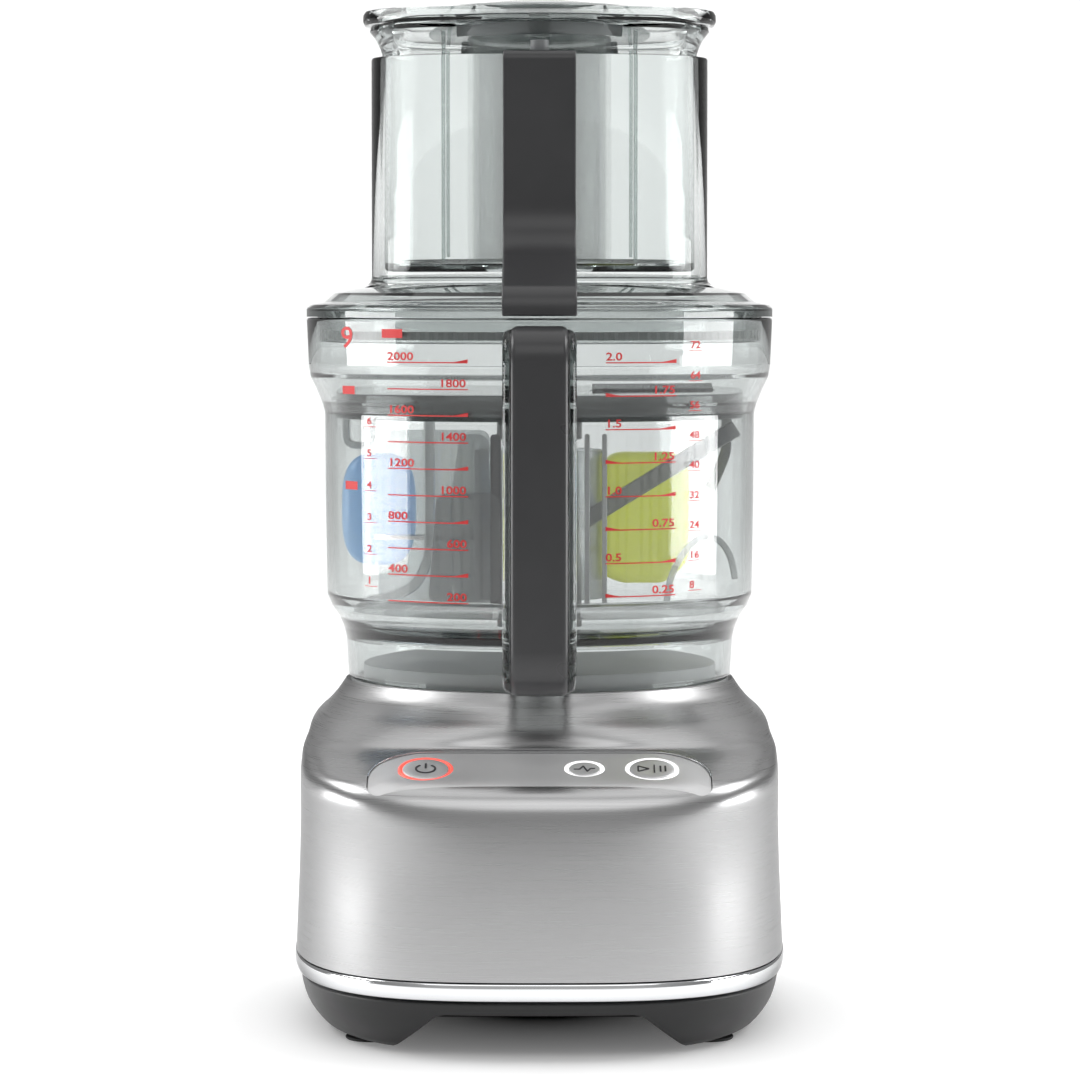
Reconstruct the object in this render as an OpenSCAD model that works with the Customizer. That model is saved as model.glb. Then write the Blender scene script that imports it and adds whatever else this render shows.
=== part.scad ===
// Food processor: motor base, graduated bowl, stored cutting tools, lid with a wide chute, two pushers.
// Millimetres. +Z is up and the front faces -Y. The origin lies on the table under the middle of the base.
// The bowl, the lid, the pushers, the spindle and the motor share one upright axis, behind the origin.

/* [Base] */
// Half width of the housing where it meets the chrome band
base_half_w = 96; // [94:0.5:98]
// Reach of the base in front of the bowl axis
base_front = 133; // [130:0.5:138]
// Reach of the base behind the bowl axis
base_rear = 95; // [92:0.5:100]
// Thickness of the steel housing
housing_wall = 2; // [1.5:0.1:2.5]
// Height of the lower edge of the chrome band
band_low = 22.3; // [21.5:0.1:23]
// Height of the upper edge of the chrome band
band_high = 29.5; // [28:0.5:31]
// Radius of one rubber foot
foot_r = 10; // [7:0.5:11]

/* [Controls] */
// Slope of the control panel from the horizontal, in degrees
panel_tilt = 18.2; // [17:0.1:19]
// Width of the control panel
panel_w = 128; // [120:1:130]
// Depth of the control panel along its slope
panel_d = 33; // [30:0.5:34]
// How far a button travels when pressed
button_travel = 1.2; // [0.8:0.1:1.5]

/* [Bowl] */
// Radius of the straight part of the bowl, outside
bowl_r = 85.2; // [84:0.1:86]
// Thickness of the bowl wall
bowl_wall = 3; // [2.6:0.1:3.2]
// Width of the clear handle core
handle_w = 27.5; // [25:0.5:30]
// Width of the dark grip that is set into the core
grip_w = 22; // [20:0.5:23]
// Reach of the grip in front of the bowl axis
grip_front = 130; // [126:0.5:131]

/* [Lid and pushers] */
// Half width of the feed chute, outside
chute_half_w = 66.6; // [64:0.1:67]
// Half depth of the feed chute, outside
chute_half_d = 40; // [38:0.5:41]
// Height of the rim of the feed chute above the table
chute_top = 376.5; // [370:0.5:377]
// Wall of the chute, and about that of the pushers
chute_wall = 2.8; // [2.4:0.1:3]
// Radius of the small round pusher
small_r = 26; // [24:0.5:27]

/* [Motor] */
// Radius of the motor case
motor_r = 46; // [40:0.5:47]
// Radius of the motor shaft
shaft_r = 5; // [4:0.5:5.5]
// Height of the tip of the drive coupling above the table
coupling_top = 188; // [184:0.5:189]

/* [Hidden] */
$fn = 96;

bowl_axis_y = (base_front - base_rear) / 2;   // places the middle of the base over the origin
plan_steps = 72;            // corners round each section of the base
fit = 0.05;                 // running clearance on radius
gap = 0.3;                  // clearance between neighbours that move apart
cut = 1;                    // how far a cutting shape runs past what it cuts

// Control panel: its middle, measured from the bowl axis
panel_reach = 106.5;
panel_z = 106.6;
panel_drop = 0.8;           // the fascia lies this far below the housing round it
panel_t = 2;
panel_r = [20, 6];          // radius of its rear corners and of its front corners
// Each button: place across the panel, outer radius of its light ring
power_spot = [-42.6, 10.25];
pulse_spot = [16.8, 7.5];
start_spot = [42.1, 10];
ring_w = 1.5;

// Housing sections from the foot up: height, half width, reach in front, reach behind, squareness
housing_sections = [
    [band_high, base_half_w, base_front, base_rear, 3.1],
    [63.6, base_half_w - 1.7, base_front - 1, base_rear - 1, 3.2],
    [80, base_half_w - 2.3, base_front - 1.7, base_rear - 1.5, 3.4],
    [90, base_half_w - 2.6, base_front - 2.7, base_rear - 2, 3.7],
    [96, base_half_w - 2.8, base_front - 5, base_rear - 2.4, 4],
    [101.2, base_half_w - 2.9, base_front - 10, base_rear - 3, 4.1],
    [106.6, base_half_w - 3.2, panel_reach, base_rear - 3.5, 4.1],
    [112, 91, 90.4, 90.5, 3.6],
    [115.3, 89.4, 88.9, 89.2, 3],
    [118.8, 86.4, 86.6, 86.4, 2.6],
    [122.4, 82.8, 83.4, 82.8, 2.3],
    [126.5, 79.5, 80, 79.5, 2.1],
    [131.6, 77, 77, 77, 2]];
turret_z = 131.6;
turret_r = 75;

// Feet and tray
foot_x = 64;
foot_front = 80;
foot_rear = 54;
foot_z = 1.2;
arch_reach = 40;            // the front arch runs back to here, and each side arch in to arch_half_w
arch_half_w = 62;

// Tray sections from the bottom up: height, half width, reach in front, reach behind, squareness
tray_sections = [
    [foot_z, 82, 116, 81, 3.2],
    [3, 85.5, 119.5, 84, 3.1],
    [5.5, 88, 121.5, 86, 3.1],
    [11.8, 92, 126.5, 90, 3.1],
    [18.1, 93.7, 130, 92.4, 3.1],
    [band_low, 94.2, 131.2, 93.2, 3.1]];
arch_z = 17;                // height of the tray's underside between its feet

// Motor stack
mount_z = 26;
case_z = 29;
case_top = 112;
case_wall = 2.5;
bearing_r = 11;
bearing_h = 7;
stator_r = [31, motor_r - case_wall];
stator_z = [46, 88];

// Bowl: outer outlines as radius and height, from the foot of the collar up to the rim
bowl_z = 132;
bowl_rim_z = 274.4;
bowl_rim_r = 92.6;
floor_z = 150;
floor_t = 3;
collar_outline = [[75.2, bowl_z], [76.2, 133], [77, 147.5], [77.5, floor_z]];
bowl_outline = [
    [77.5, floor_z], [78, 152], [79.8, 156], [82.5, 160], [84.6, 165],
    [bowl_r, 200], [bowl_r + 0.2, 237], [86.3, 240.5], [88.5, 246], [91, 251], [91.8, 256],
    [bowl_rim_r, bowl_rim_z]];
tube_r = [9, 11.5];         // bowl's centre tube, inside and outside
tube_top = 176;

// Handle of the bowl, as reach in front of the bowl axis and height
handle_top = 271.5;
handle_low = 134;
handle_back = 113;          // inner face of the upright
grip_t = 9;

// Lid
lid_z = bowl_rim_z + gap;
lid_top = 287;
lid_under = 284.2;
lid_outline = [
    [bowl_rim_r, lid_z], [bowl_rim_r, 278], [91, 279.5], [85.5, 280.5], [81.5, 284],
    [67.5, lid_top], [0, lid_top]];
skirt_r = [86.2, 88.4];
skirt_z = 264.5;
interlock_reach = 52;
interlock_r = 3.5;
interlock_z = [332, 380.7];

// Pushers
pusher_clear = 2.2;
pusher_z = 292;
pusher_t = 2.4;
tub_half_w = chute_half_w - chute_wall - pusher_clear;
tub_half_d = chute_half_d - chute_wall - pusher_clear + 0.2;
tub_top = 388;              // the pusher's cover is welded on here
flange_z = 388.8;
flange_lip = 394.8;
flange_half_w = 70.2;
flange_bulge_r = 51;
skirt_ring_r = [43.5, 46];
sleeve_r = [small_r + 0.5, small_r + 2.6];
cap_r = 44.5;
cap_top = 399;

// Tools that ride on the spindle
blade_t = 1.6;
left_blade_z = 187;
right_blade_z = 182;
disc_r = 81;
disc_z = [235, 245.5];

// ---------- helpers ----------

module on_axis() { translate([0, bowl_axis_y, 0]) children(); }

// A flat outline drawn as reach and height becomes an upright slab, w wide, across the middle
module side_slab(w) { rotate([90, 0, -90]) linear_extrude(w, center = true) children(); }

// A flat outline drawn as x and height becomes an upright slab that faces the front, d deep
module front_slab(d) { rotate([90, 0, 0]) linear_extrude(d, center = true) children(); }

module on_panel(x = 0) {
    on_axis() translate([x, -panel_reach, panel_z]) rotate([panel_tilt, 0, 0])
        translate([0, 0, -panel_drop]) children();
}

module tube(r_in, r_out, z0, z1) {
    translate([0, 0, z0]) difference() {
        cylinder(r = r_out, h = z1 - z0);
        translate([0, 0, -cut]) cylinder(r = r_in, h = z1 - z0 + 2 * cut);
    }
}

module rod(r, z0, z1) { translate([0, 0, z0]) cylinder(r = r, h = z1 - z0); }

// Points of an arc in order, from angle a0 to angle a1
function arc(centre, r, a0, a1, steps = 8) =
    [for (i = [0 : steps]) let (a = a0 + (a1 - a0) * i / steps) centre + r * [cos(a), sin(a)]];

// Closed rounded plan: half width w, reach f to the front and b to the back, squareness n
function plan(w, f, b, n) = [for (i = [0 : plan_steps - 1])
    let (a = 360 * i / plan_steps, c = cos(a), s = sin(a),
         r = 1 / pow(pow(abs(c) / w, n) + pow(abs(s) / (s < 0 ? f : b), n), 1 / n))
    [r * c, r * s]];

function section_ring(s, inset = 0, drop = 0) =
    [for (p = plan(s[1] - inset, s[2] - inset, s[3] - inset, s[4])) [p[0], p[1], s[0] - drop]];

// Skin over a list of rings; with caps it is solid, without them its last ring joins its first
module skin(rings, caps) {
    count = len(rings);
    points = [for (ring = rings) each ring];
    sides = [for (j = [0 : count - (caps ? 2 : 1)]) for (i = [0 : plan_steps - 1])
        let (a = j * plan_steps, b = (j + 1) % count * plan_steps, k = (i + 1) % plan_steps)
        each [[a + i, b + i, b + k], [a + i, b + k, a + k]]];
    bottom = [for (i = [0 : plan_steps - 1]) i];
    top = [for (i = [plan_steps - 1 : -1 : 0]) (count - 1) * plan_steps + i];
    polyhedron(points, caps ? concat(sides, [bottom, top]) : sides, convexity = 6);
}

// Rounded plate with one radius for its rear corners and one for its front corners
module plate_2d(w, d, r_rear, r_front) {
    difference() {
        square([w, d], center = true);
        for (sx = [-1, 1]) {
            corner_cut([sx * w / 2, d / 2], [sx, 1], r_rear);
            corner_cut([sx * w / 2, -d / 2], [sx, -1], r_front);
        }
    }
}

module corner_cut(corner, side, r) {
    translate(corner) difference() {
        translate([-side[0] * r / 2 + side[0] * cut / 2, -side[1] * r / 2 + side[1] * cut / 2])
            square([r + cut, r + cut], center = true);
        translate([-side[0] * r, -side[1] * r]) circle(r);
    }
}

// Oval that the chute and the pushers share
module oval(w, d) { polygon(plan(w, d, d, 2.6)); }

module oval_ring(w, d, wall) {
    difference() {
        oval(w, d);
        oval(w - wall, d - wall);
    }
}

// Bar with round ends between two points of a flat outline
module bar(p, q, t) {
    translate(p) circle(d = t);
    translate(q) circle(d = t);
    translate(p) rotate(atan2(q[1] - p[1], q[0] - p[0])) translate([0, -t / 2])
        square([norm(q - p), t]);
}

// Strip t wide that follows a list of points
module strip(points, t) {
    last = len(points) - 1;
    side = [for (i = [0 : last]) let (d = points[min(i + 1, last)] - points[max(i - 1, 0)])
        [-d[1], d[0]] / norm(d) * t / 2];
    polygon(concat([for (i = [0 : last]) points[i] + side[i]],
        [for (i = [last : -1 : 0]) points[i] - side[i]]));
}

// Everything inside the outer surface of the bowl, for trimming what is welded to it
module bowl_body() {
    rotate_extrude() polygon(concat([[0, bowl_z]], collar_outline, bowl_outline, [[0, bowl_rim_z]]));
}

// ---------- motor base ----------

module housing() {
    last = len(housing_sections) - 1;
    outer = [for (s = housing_sections) section_ring(s)];
    inner = [for (i = [last : -1 : 0]) section_ring(housing_sections[i], housing_wall,
        i == 0 ? 0 : housing_wall)];
    color("silver") difference() {
        on_axis() skin(concat(outer, inner), false);
        on_panel() translate([0, 0, -3 * panel_t]) linear_extrude(20)
            plate_2d(panel_w + gap, panel_d + gap, panel_r[0], panel_r[1]);
        gland_place() rotate([90, 0, 0]) cylinder(r = gland_r + fit, h = 30, center = true);
    }
}

// Grey seat with three ramps that the collar of the bowl locks under
module turret() {
    boss_r = 70;
    boss_top = 138;
    hole_r = 12;
    lug_r = boss_r + 1.6;
    color("dimgray") on_axis() {
        difference() {
            union() {
                rod(turret_r, turret_z - 4, turret_z);
                rod(boss_r, turret_z - 4, boss_top);
            }
            rod(boss_r - 3, turret_z - 5, boss_top - 3);
            rod(hole_r, turret_z - 5, boss_top + cut);
        }
        tube(hole_r, hole_r + 3, turret_z - 4, boss_top + 2);
        for (a = [30, 150, 270]) rotate(a) intersection() {
            tube(boss_r - 0.5, lug_r, turret_z + 1.5, turret_z + 3.5);
            translate([0, -9, turret_z]) cube([lug_r + 1, 18, 5]);
        }
    }
}

module chrome_band() {
    band = [
        [band_low, 94.6, 131.6, 93.6, 3.1], [24.6, 95.8, 132.8, 94.8, 3.1],
        [27, 96.4, 133.3, 95.3, 3.1], [band_high, 96.1, 133.1, 95.1, 3.1]];
    outer = [for (s = band) section_ring(s)];
    inner = [for (z = [band_high, band_low]) section_ring([z, 92.6, 129.6, 91.6, 3.1])];
    color("gainsboro") on_axis() skin(concat(outer, inner), false);
}

// Dark tray with an arch between its feet
module base_tray() {
    color("#3c3c3e") difference() {
        on_axis() skin([for (s = tray_sections) section_ring(s)], true);
        on_axis() translate([0, -arch_reach - 75, 0]) front_slab(150)
            polygon([[-55, foot_z - cut], [-37.5, arch_z], [37.5, arch_z], [55, foot_z - cut]]);
        for (sx = [-1, 1]) translate([sx * (arch_half_w + 50), 0, 0]) side_slab(100)
            polygon([[-53, foot_z - cut], [-40, arch_z - 1], [32, arch_z - 1], [45, foot_z - cut]]);
        for (p = screw_spots()) translate(p) {
            rod(screw_r + fit, foot_z, band_high);
            rod(2 * screw_r + gap, foot_z - cut, arch_z);
        }
    }
}

// Upright frame on the tray that the band and the housing fit round
module band_frame() {
    frame_top = 36;
    color("#3c3c3e") on_axis() translate([0, 0, band_low]) linear_extrude(frame_top - band_low)
        difference() {
            polygon(plan(92.4, 129.4, 91.4, 3.1));
            polygon(plan(90, 127, 89, 3.1));
        }
}

module rubber_feet() {
    color("#202022") on_axis() for (sx = [-1, 1]) for (y = [-foot_front, foot_rear])
        translate([sx * foot_x, y, 0]) difference() {
            rod(foot_r, 0, foot_z);
            rod(foot_r - 4, -cut, 0.5);
        }
}

screw_r = 2;
function screw_spots() = [for (sx = [-1, 1]) for (y = [-40, 80]) [sx * 30, y, 0]];

module base_screws() {
    color("gray") for (p = screw_spots()) translate(p) {
        rod(screw_r, arch_z, 32);
        rod(2 * screw_r, arch_z - 2.4, arch_z);
    }
}

gland_r = 8;
gland_x = -45;
gland_z = 47;
gland_bore_r = 3.6;
gland_end = 94;             // reach of the gland's mouth behind the bowl axis
gland_len = 14;

module gland_place() { on_axis() translate([gland_x, gland_end, gland_z]) children(); }

module cord_gland() {
    color("#1c1c1e") gland_place() rotate([90, 0, 0]) difference() {
        union() {
            rod(gland_r, 0, gland_len);
            rod(gland_r + 2.5, 9, 11.5);
        }
        rod(gland_bore_r, -cut, gland_len + cut);
    }
}

// ---------- controls ----------

module control_panel() {
    color("lightgray") on_panel() difference() {
        translate([0, 0, -panel_t]) linear_extrude(panel_t)
            plate_2d(panel_w, panel_d, panel_r[0], panel_r[1]);
        for (spot = [power_spot, pulse_spot, start_spot])
            translate([spot[0], 0, 0]) rod(spot[1], -panel_t - cut, cut);
    }
}

module light_ring(spot) { on_panel(spot[0]) tube(spot[1] - ring_w, spot[1], -panel_t, 0.3); }

// Push button: a cap inside its light ring and a stem that meets the switch
module push(spot) {
    cap_edge = spot[1] - ring_w - gap;
    on_panel(spot[0]) {
        rod(cap_edge, -3, 0.5);
        rod(2.5, -6, -3);
    }
}

module power_ring() { color("red") light_ring(power_spot); }
module pulse_ring() { color("white") light_ring(pulse_spot); }
module start_ring() { color("white") light_ring(start_spot); }
module power_button() { color("lightgray") push(power_spot); }
module pulse_button() { color("lightgray") push(pulse_spot); }
module start_button() { color("lightgray") push(start_spot); }

// Circuit board under the panel, with one low switch under each stem
module button_board() {
    board_z = -6 - button_travel - gap - 1;
    color("darkgreen") on_panel() {
        translate([0, 0, board_z - 1.6]) linear_extrude(1.6) square([108, 22], center = true);
        for (spot = [power_spot, pulse_spot, start_spot])
            translate([spot[0], 0, board_z]) linear_extrude(0.9) square([6, 6], center = true);
    }
}

module power_board() {
    board = 24;
    color("darkgreen") on_axis() translate([0, -90, board]) {
        translate([-35, -18, 0]) cube([70, 36, 1.6]);
        translate([-28, -10, 1.6]) cube([20, 16, 15]);
        translate([2, -12, 1.6]) cube([12, 20, 12]);
        for (x = [-35, 31]) translate([x, -4, band_low - board]) cube([4, 8, board - band_low]);
    }
}

module capacitor() { color("navy") on_axis() translate([66, -45, 0]) rod(14, band_low, 78); }

// ---------- motor ----------

module motor_mount() {
    plate_r = 58;
    color("slategray") on_axis() difference() {
        union() {
            rod(plate_r, mount_z, case_z);
            for (a = [45 : 90 : 315]) rotate(a) translate([52, 0, 0]) rod(5, band_low, mount_z);
        }
        rod(14, mount_z - cut, case_z + cut);
        for (a = [45 : 90 : 315]) rotate(a) translate([52, 0, 0]) rod(screw_r + fit, 22, case_z + cut);
    }
}

module motor_screws() {
    color("gray") on_axis() for (a = [45 : 90 : 315]) rotate(a) translate([52, 0, 0]) {
        rod(screw_r, 22.5, case_z);
        rod(1.8 * screw_r, case_z, case_z + 2.4);
    }
}

// Closed can with a seat for a bearing at each end
module motor_case() {
    inner = motor_r - case_wall;
    seat = bearing_r + 3;
    hole = 8;
    low = case_z + 3;
    high = case_top - 3;
    color("gray") on_axis() rotate_extrude() polygon([
        [hole, case_z], [motor_r, case_z], [motor_r, case_top], [hole, case_top],
        [hole, high], [bearing_r, high], [bearing_r, high - bearing_h], [seat, high - bearing_h],
        [seat, high], [inner, high], [inner, low], [seat, low], [seat, low + bearing_h],
        [bearing_r, low + bearing_h], [bearing_r, low], [hole, low]]);
}

module stator() { color("peru") on_axis() tube(stator_r[0], stator_r[1], stator_z[0], stator_z[1]); }

module lower_bearing() {
    color("silver") on_axis() tube(shaft_r + fit, bearing_r, case_z + 3, case_z + 3 + bearing_h);
}

module upper_bearing() {
    color("silver") on_axis() tube(shaft_r + fit, bearing_r, case_top - 3 - bearing_h, case_top - 3);
}

module motor_rotor() { color("dimgray") on_axis() tube(shaft_r, stator_r[0] - 1, stator_z[0] + 1, 87); }

module motor_shaft() { color("silver") on_axis() rod(shaft_r, 31, 160); }

module cooling_fan() {
    color("white") on_axis() difference() {
        union() {
            rod(11, 89, 98);
            for (a = [0 : 45 : 315]) rotate(a) translate([10, -0.8, 90]) cube([28, 1.6, 8]);
        }
        rod(shaft_r, 88, 99);
    }
}

// Sleeve on the shaft that ends in a six-sided drive
module drive_coupling() {
    coupling_r = 7;
    color("dimgray") on_axis() difference() {
        union() {
            rod(coupling_r, 141, tube_top - gap);
            translate([0, 0, tube_top - gap])
                cylinder(r = coupling_r, h = coupling_top - tube_top + gap, $fn = 6);
        }
        rod(shaft_r, 140, 160);
    }
}

// ---------- bowl ----------

module bowl() {
    inside = [
        [bowl_rim_r - bowl_wall, bowl_rim_z], [88.8, 256.5], [88.2, 253], [85.6, 248], [83.3, 242.5],
        [bowl_r + 0.2 - bowl_wall, 238], [bowl_r - bowl_wall, 200], [81.6, 166], [79.8, 162.5],
        [77, 158], [75, 154.5], [73.5, floor_z + floor_t]];
    middle = [
        [tube_r[1], floor_z + floor_t], [tube_r[1], tube_top], [tube_r[0], tube_top],
        [tube_r[0], floor_z]];
    color("lightcyan", 0.4) on_axis() rotate_extrude() polygon(concat(bowl_outline, inside, middle));
}

// Ring under the bowl that drops over the turret of the base
module bowl_collar() {
    inside = [[73.6, floor_z], [73.4, 147.5], [72.6, 134], [72.2, bowl_z]];
    color("lightcyan", 0.4) on_axis() rotate_extrude() polygon(concat(collar_outline, inside));
}

// Outer outline of the handle from its upper root round to its lower root, inset by t
function handle_outer(t, root) = concat(
    [[root, handle_top - t]],
    arc([grip_front - 14, handle_top - 14], 14 - t, 90, 0),
    arc([grip_front - 18, handle_low + 18], 18 - t, 0, -90),
    [[root, handle_low + t]]);

module grip_slot(side) { side_slab(grip_w + side) polygon(grip_outline(side)); }

function grip_outline(side) = concat(
    handle_outer(side > 0 ? -cut : 0, 97),
    [for (i = [len(handle_outer(grip_t, 97)) - 1 : -1 : 0]) handle_outer(grip_t, 97)[i]]);

// Clear core, welded to the wall above and to the collar below, with a seat for the grip
module bowl_handle() {
    root = 70;
    r = 12;
    finger = concat(
        [[root, handle_low + 13]],
        arc([handle_back - r, handle_low + 13 + r], r, -90, 0),
        arc([handle_back - r, 248 - r], r, 0, 90),
        [[root, 248]]);
    color("lightcyan", 0.5) on_axis() difference() {
        side_slab(handle_w) polygon(concat(handle_outer(0, root), finger));
        grip_slot(0.2);
        bowl_body();
    }
}

module bowl_grip() { color("#434446") on_axis() grip_slot(0); }

// ---------- tools on the spindle ----------

// Hub that stands over the bowl's centre tube and is turned by the six-sided drive
module spindle() {
    low = 154.5;
    top = 230;
    color("#55585a") on_axis() difference() {
        union() {
            rod(17, low, 195);
            rod(23, 195, 199);
            rod(14, 199, top);
        }
        rod(tube_r[1] + 0.6, low - cut, tube_top + gap);
        translate([0, 0, tube_top]) cylinder(r = 7.6, h = 15, $fn = 6);
    }
}

// Sickle-shaped steel blade that reaches along +X from the hub, between two arcs with the same ends
module blade(reach, root) {
    back = 20;
    edge = 60;
    linear_extrude(blade_t) difference() {
        translate([reach / 2, -back]) circle(norm([reach / 2, back]));
        translate([reach / 2, -edge]) circle(norm([reach / 2, edge]));
        circle(root);
    }
}

module left_blade() {
    color("silver") on_axis() translate([0, 0, left_blade_z]) rotate(180) blade(74, 17);
}

module right_blade() {
    color("silver") on_axis() translate([0, 0, right_blade_z]) blade(56, 17);
}

// Sheath over the outer end of a blade: closed outside, open towards the spindle
module guard(w, h, d, r_low, r_high, blade_gap_z, far) {
    difference() {
        front_slab(d) plate_2d(w, h, r_high, r_low);
        translate([far * -3, 0, 0]) front_slab(d - 5) plate_2d(w, h - 6, r_high - 3, r_low - 3);
        translate([far * -5, 0, blade_gap_z]) cube([w, d + 2, 4], center = true);
    }
}

module blue_guard() {
    color("#7aa3cc") on_axis() translate([-64, 0, 198.3]) guard(30, 45, 24, 11, 9, -10.5, -1);
}

module green_guard() {
    color("#b0b83c") on_axis() translate([42, 0, 195]) guard(34.8, 52, 22, 15, 10, -12.2, 1);
}

// Smoky disc: a rim, a thin plate with a slot, and a socket over the spindle
module disc_rim() {
    color("#4a4f52") on_axis() {
        tube(disc_r - 3.5, disc_r, disc_z[0], disc_z[1]);
        difference() {
            rod(disc_r - 3.5, disc_z[1] - 2, disc_z[1]);
            translate([20, -4, disc_z[0]]) cube([50, 8, 20]);
            rod(6, disc_z[0], disc_z[1] + cut);
        }
        tube(14, 17, 226, disc_z[1] - 2);
    }
}

module disc_blade() {
    color("silver") on_axis() translate([45, 3, disc_z[1] + 1]) {
        rotate([10, 0, 0]) cube([48, 10, 1.2], center = true);
        for (x = [-20, 20]) translate([x, 3, -0.2]) cube([5, 4, 1.6], center = true);
    }
}

module carrier_arm() {
    color("#6b7073") on_axis() difference() {
        translate([0, -15, 0]) front_slab(5) bar([10, 190], [77, 231], 3.5);
        rod(23, 180, 199);
        rod(14, 199, 230);
    }
}

module carrier_post() {
    color("gainsboro") on_axis() translate([0, -27, 0]) front_slab(5)
        strip([[-42.8, disc_z[1] - 2], [-42.8, 186], [-44.5, 177], [-51, 168], [-67, 163]], 4.4);
}

module carrier_loop() {
    color("gainsboro") on_axis() translate([0, -12.5, 0]) front_slab(3)
        strip([[50, 160], [52, 172], [58, 183], [65, 188], [71, 186], [75, 180], [77, 171]], 2.8);
}

// Two clip lugs under the rim of the disc
module carrier_lugs() {
    color("gainsboro") on_axis() {
        front_slab(8) strip([[-66.5, disc_z[1] - 2], [-66.5, 227], [-68, 224], [-75.5, 224],
            [-77, 227], [-77, disc_z[0] - gap]], 3);
        translate([0, 16, 0]) front_slab(4) strip([[76, disc_z[0]], [76, 220], [69, 205]], 5);
    }
}

// ---------- lid ----------

module lid() {
    under = [
        [0, lid_under], [67, lid_under], [80, 281.4], [83.6, 278.2], [skirt_r[0], 277.2],
        [skirt_r[0], skirt_z], [skirt_r[1], skirt_z], [skirt_r[1], lid_z]];
    color("lightcyan", 0.4) on_axis() difference() {
        rotate_extrude() polygon(concat(lid_outline, under));
        translate([0, 0, lid_under - cut]) linear_extrude(10) oval(chute_half_w, chute_half_d);
    }
}

module lid_seal() { color("whitesmoke") on_axis() tube(skirt_r[0] - 2, skirt_r[0], 266, 269); }

module feed_chute() {
    color("lightcyan", 0.4) on_axis() translate([0, 0, lid_under])
        linear_extrude(chute_top - lid_under) oval_ring(chute_half_w, chute_half_d, chute_wall);
}

// Dark column from the chute's rim down and out to the front of the bowl's rim
module lid_handle() {
    width = 28;
    top_reach = 62;
    toe_reach = 112;
    toe_top = 288;
    front = concat(
        arc([top_reach - 4, chute_top - 4], 4, 90, 0, 4),
        arc([top_reach + 24, 320], 24, 180, 245),
        arc([toe_reach - 12, toe_top - 12], 12, 65, 0));
    color("#434446") on_axis() difference() {
        side_slab(width)
            polygon(concat([[30, chute_top]], front, [[toe_reach, lid_z + 0.5], [30, lid_z + 0.5]]));
        translate([0, 0, lid_under - 1]) linear_extrude(100) oval(chute_half_w, chute_half_d);
        rotate_extrude() polygon(concat([[0, lid_z]], lid_outline));
        translate([0, -interlock_reach, 0]) rod(interlock_r + 0.08, 318, chute_top + cut);
    }
}

// Coil spring below the interlock pin, wound from one round wire
module interlock_spring() {
    wire_r = 0.45;
    coil_r = 2.6;
    turns = 4;
    height = 7;
    sides = 8;
    steps = 16 * turns;
    rings = [for (k = [0 : steps]) let (a = 360 * turns * k / steps) [for (j = [0 : sides - 1])
        let (b = 360 * j / sides, r = coil_r + wire_r * cos(b))
        [r * cos(a), r * sin(a), wire_r * sin(b) + height * k / steps]]];
    walls = [for (k = [0 : steps - 1]) for (j = [0 : sides - 1])
        let (p = k * sides, q = p + sides, n = (j + 1) % sides)
        each [[p + j, p + n, q + n], [p + j, q + n, q + j]]];
    ends = [[for (j = [sides - 1 : -1 : 0]) j], [for (j = [0 : sides - 1]) steps * sides + j]];
    color("silver") on_axis() translate([0, -interlock_reach, 318.5 + wire_r])
        polyhedron([for (ring = rings) each ring], concat(walls, ends), convexity = 10);
}

module interlock_pin() {
    color("dimgray") on_axis() translate([0, -interlock_reach, 0])
        rod(interlock_r, interlock_z[0], interlock_z[1]);
}

// ---------- pushers ----------

module flange_outline(inset) {
    oval(flange_half_w - inset, 43 - inset);
    circle(flange_bulge_r - inset);
}

// Hollow tub of the large pusher, open at the top, with a sleeve for the small pusher
module large_pusher() {
    color("lightcyan", 0.4) on_axis() difference() {
        union() {
            translate([0, 0, pusher_z]) linear_extrude(tub_top - pusher_z)
                oval_ring(tub_half_w, tub_half_d, pusher_t);
            translate([0, 0, pusher_z]) linear_extrude(pusher_t) oval(tub_half_w, tub_half_d);
            rod(sleeve_r[1], pusher_z, tub_top);
        }
        rod(sleeve_r[0], pusher_z - cut, tub_top + cut);
    }
}

// Cover welded over the tub: wide flange with a raised lip, skirt, and the tab that works the interlock
module pusher_flange() {
    color("lightcyan", 0.4) on_axis() difference() {
        union() {
            translate([0, 0, tub_top]) linear_extrude(flange_z - tub_top + pusher_t) intersection() {
                circle(skirt_ring_r[1]);
                oval(flange_half_w, 43);
            }
            difference() {
                tube(skirt_ring_r[0], skirt_ring_r[1], 384, flange_z + cut);
                translate([0, 0, 380]) linear_extrude(tub_top - 380)
                    oval(tub_half_w + gap, tub_half_d + gap);
            }
            translate([0, 0, flange_z]) linear_extrude(pusher_t) flange_outline(0);
            translate([0, 0, flange_z]) linear_extrude(flange_lip - flange_z) difference() {
                flange_outline(0);
                flange_outline(2.4);
            }
            translate([-4, -interlock_reach, 381]) cube([8, 7, 11]);
        }
        rod(sleeve_r[0], tub_top - cut, flange_lip + cut);
    }
}

module small_pusher() {
    color("lightcyan", 0.4) on_axis() difference() {
        rod(small_r, pusher_z + 1, flange_z + 3.2);
        rod(small_r - 2.2, pusher_z + 3.2, flange_lip + cut);
    }
}

// Shallow grey dome over the small pusher
module pusher_cap() {
    low = flange_z + 3.2;
    edge = cap_top - 3;
    sphere_r = (cap_r * cap_r + 9) / 6;
    color("#808584", 0.9) on_axis() {
        rod(cap_r, low, edge);
        intersection() {
            translate([0, 0, cap_top - sphere_r]) sphere(sphere_r, $fn = 200);
            rod(cap_r, edge - 0.5, cap_top + cut);
        }
    }
}

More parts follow.
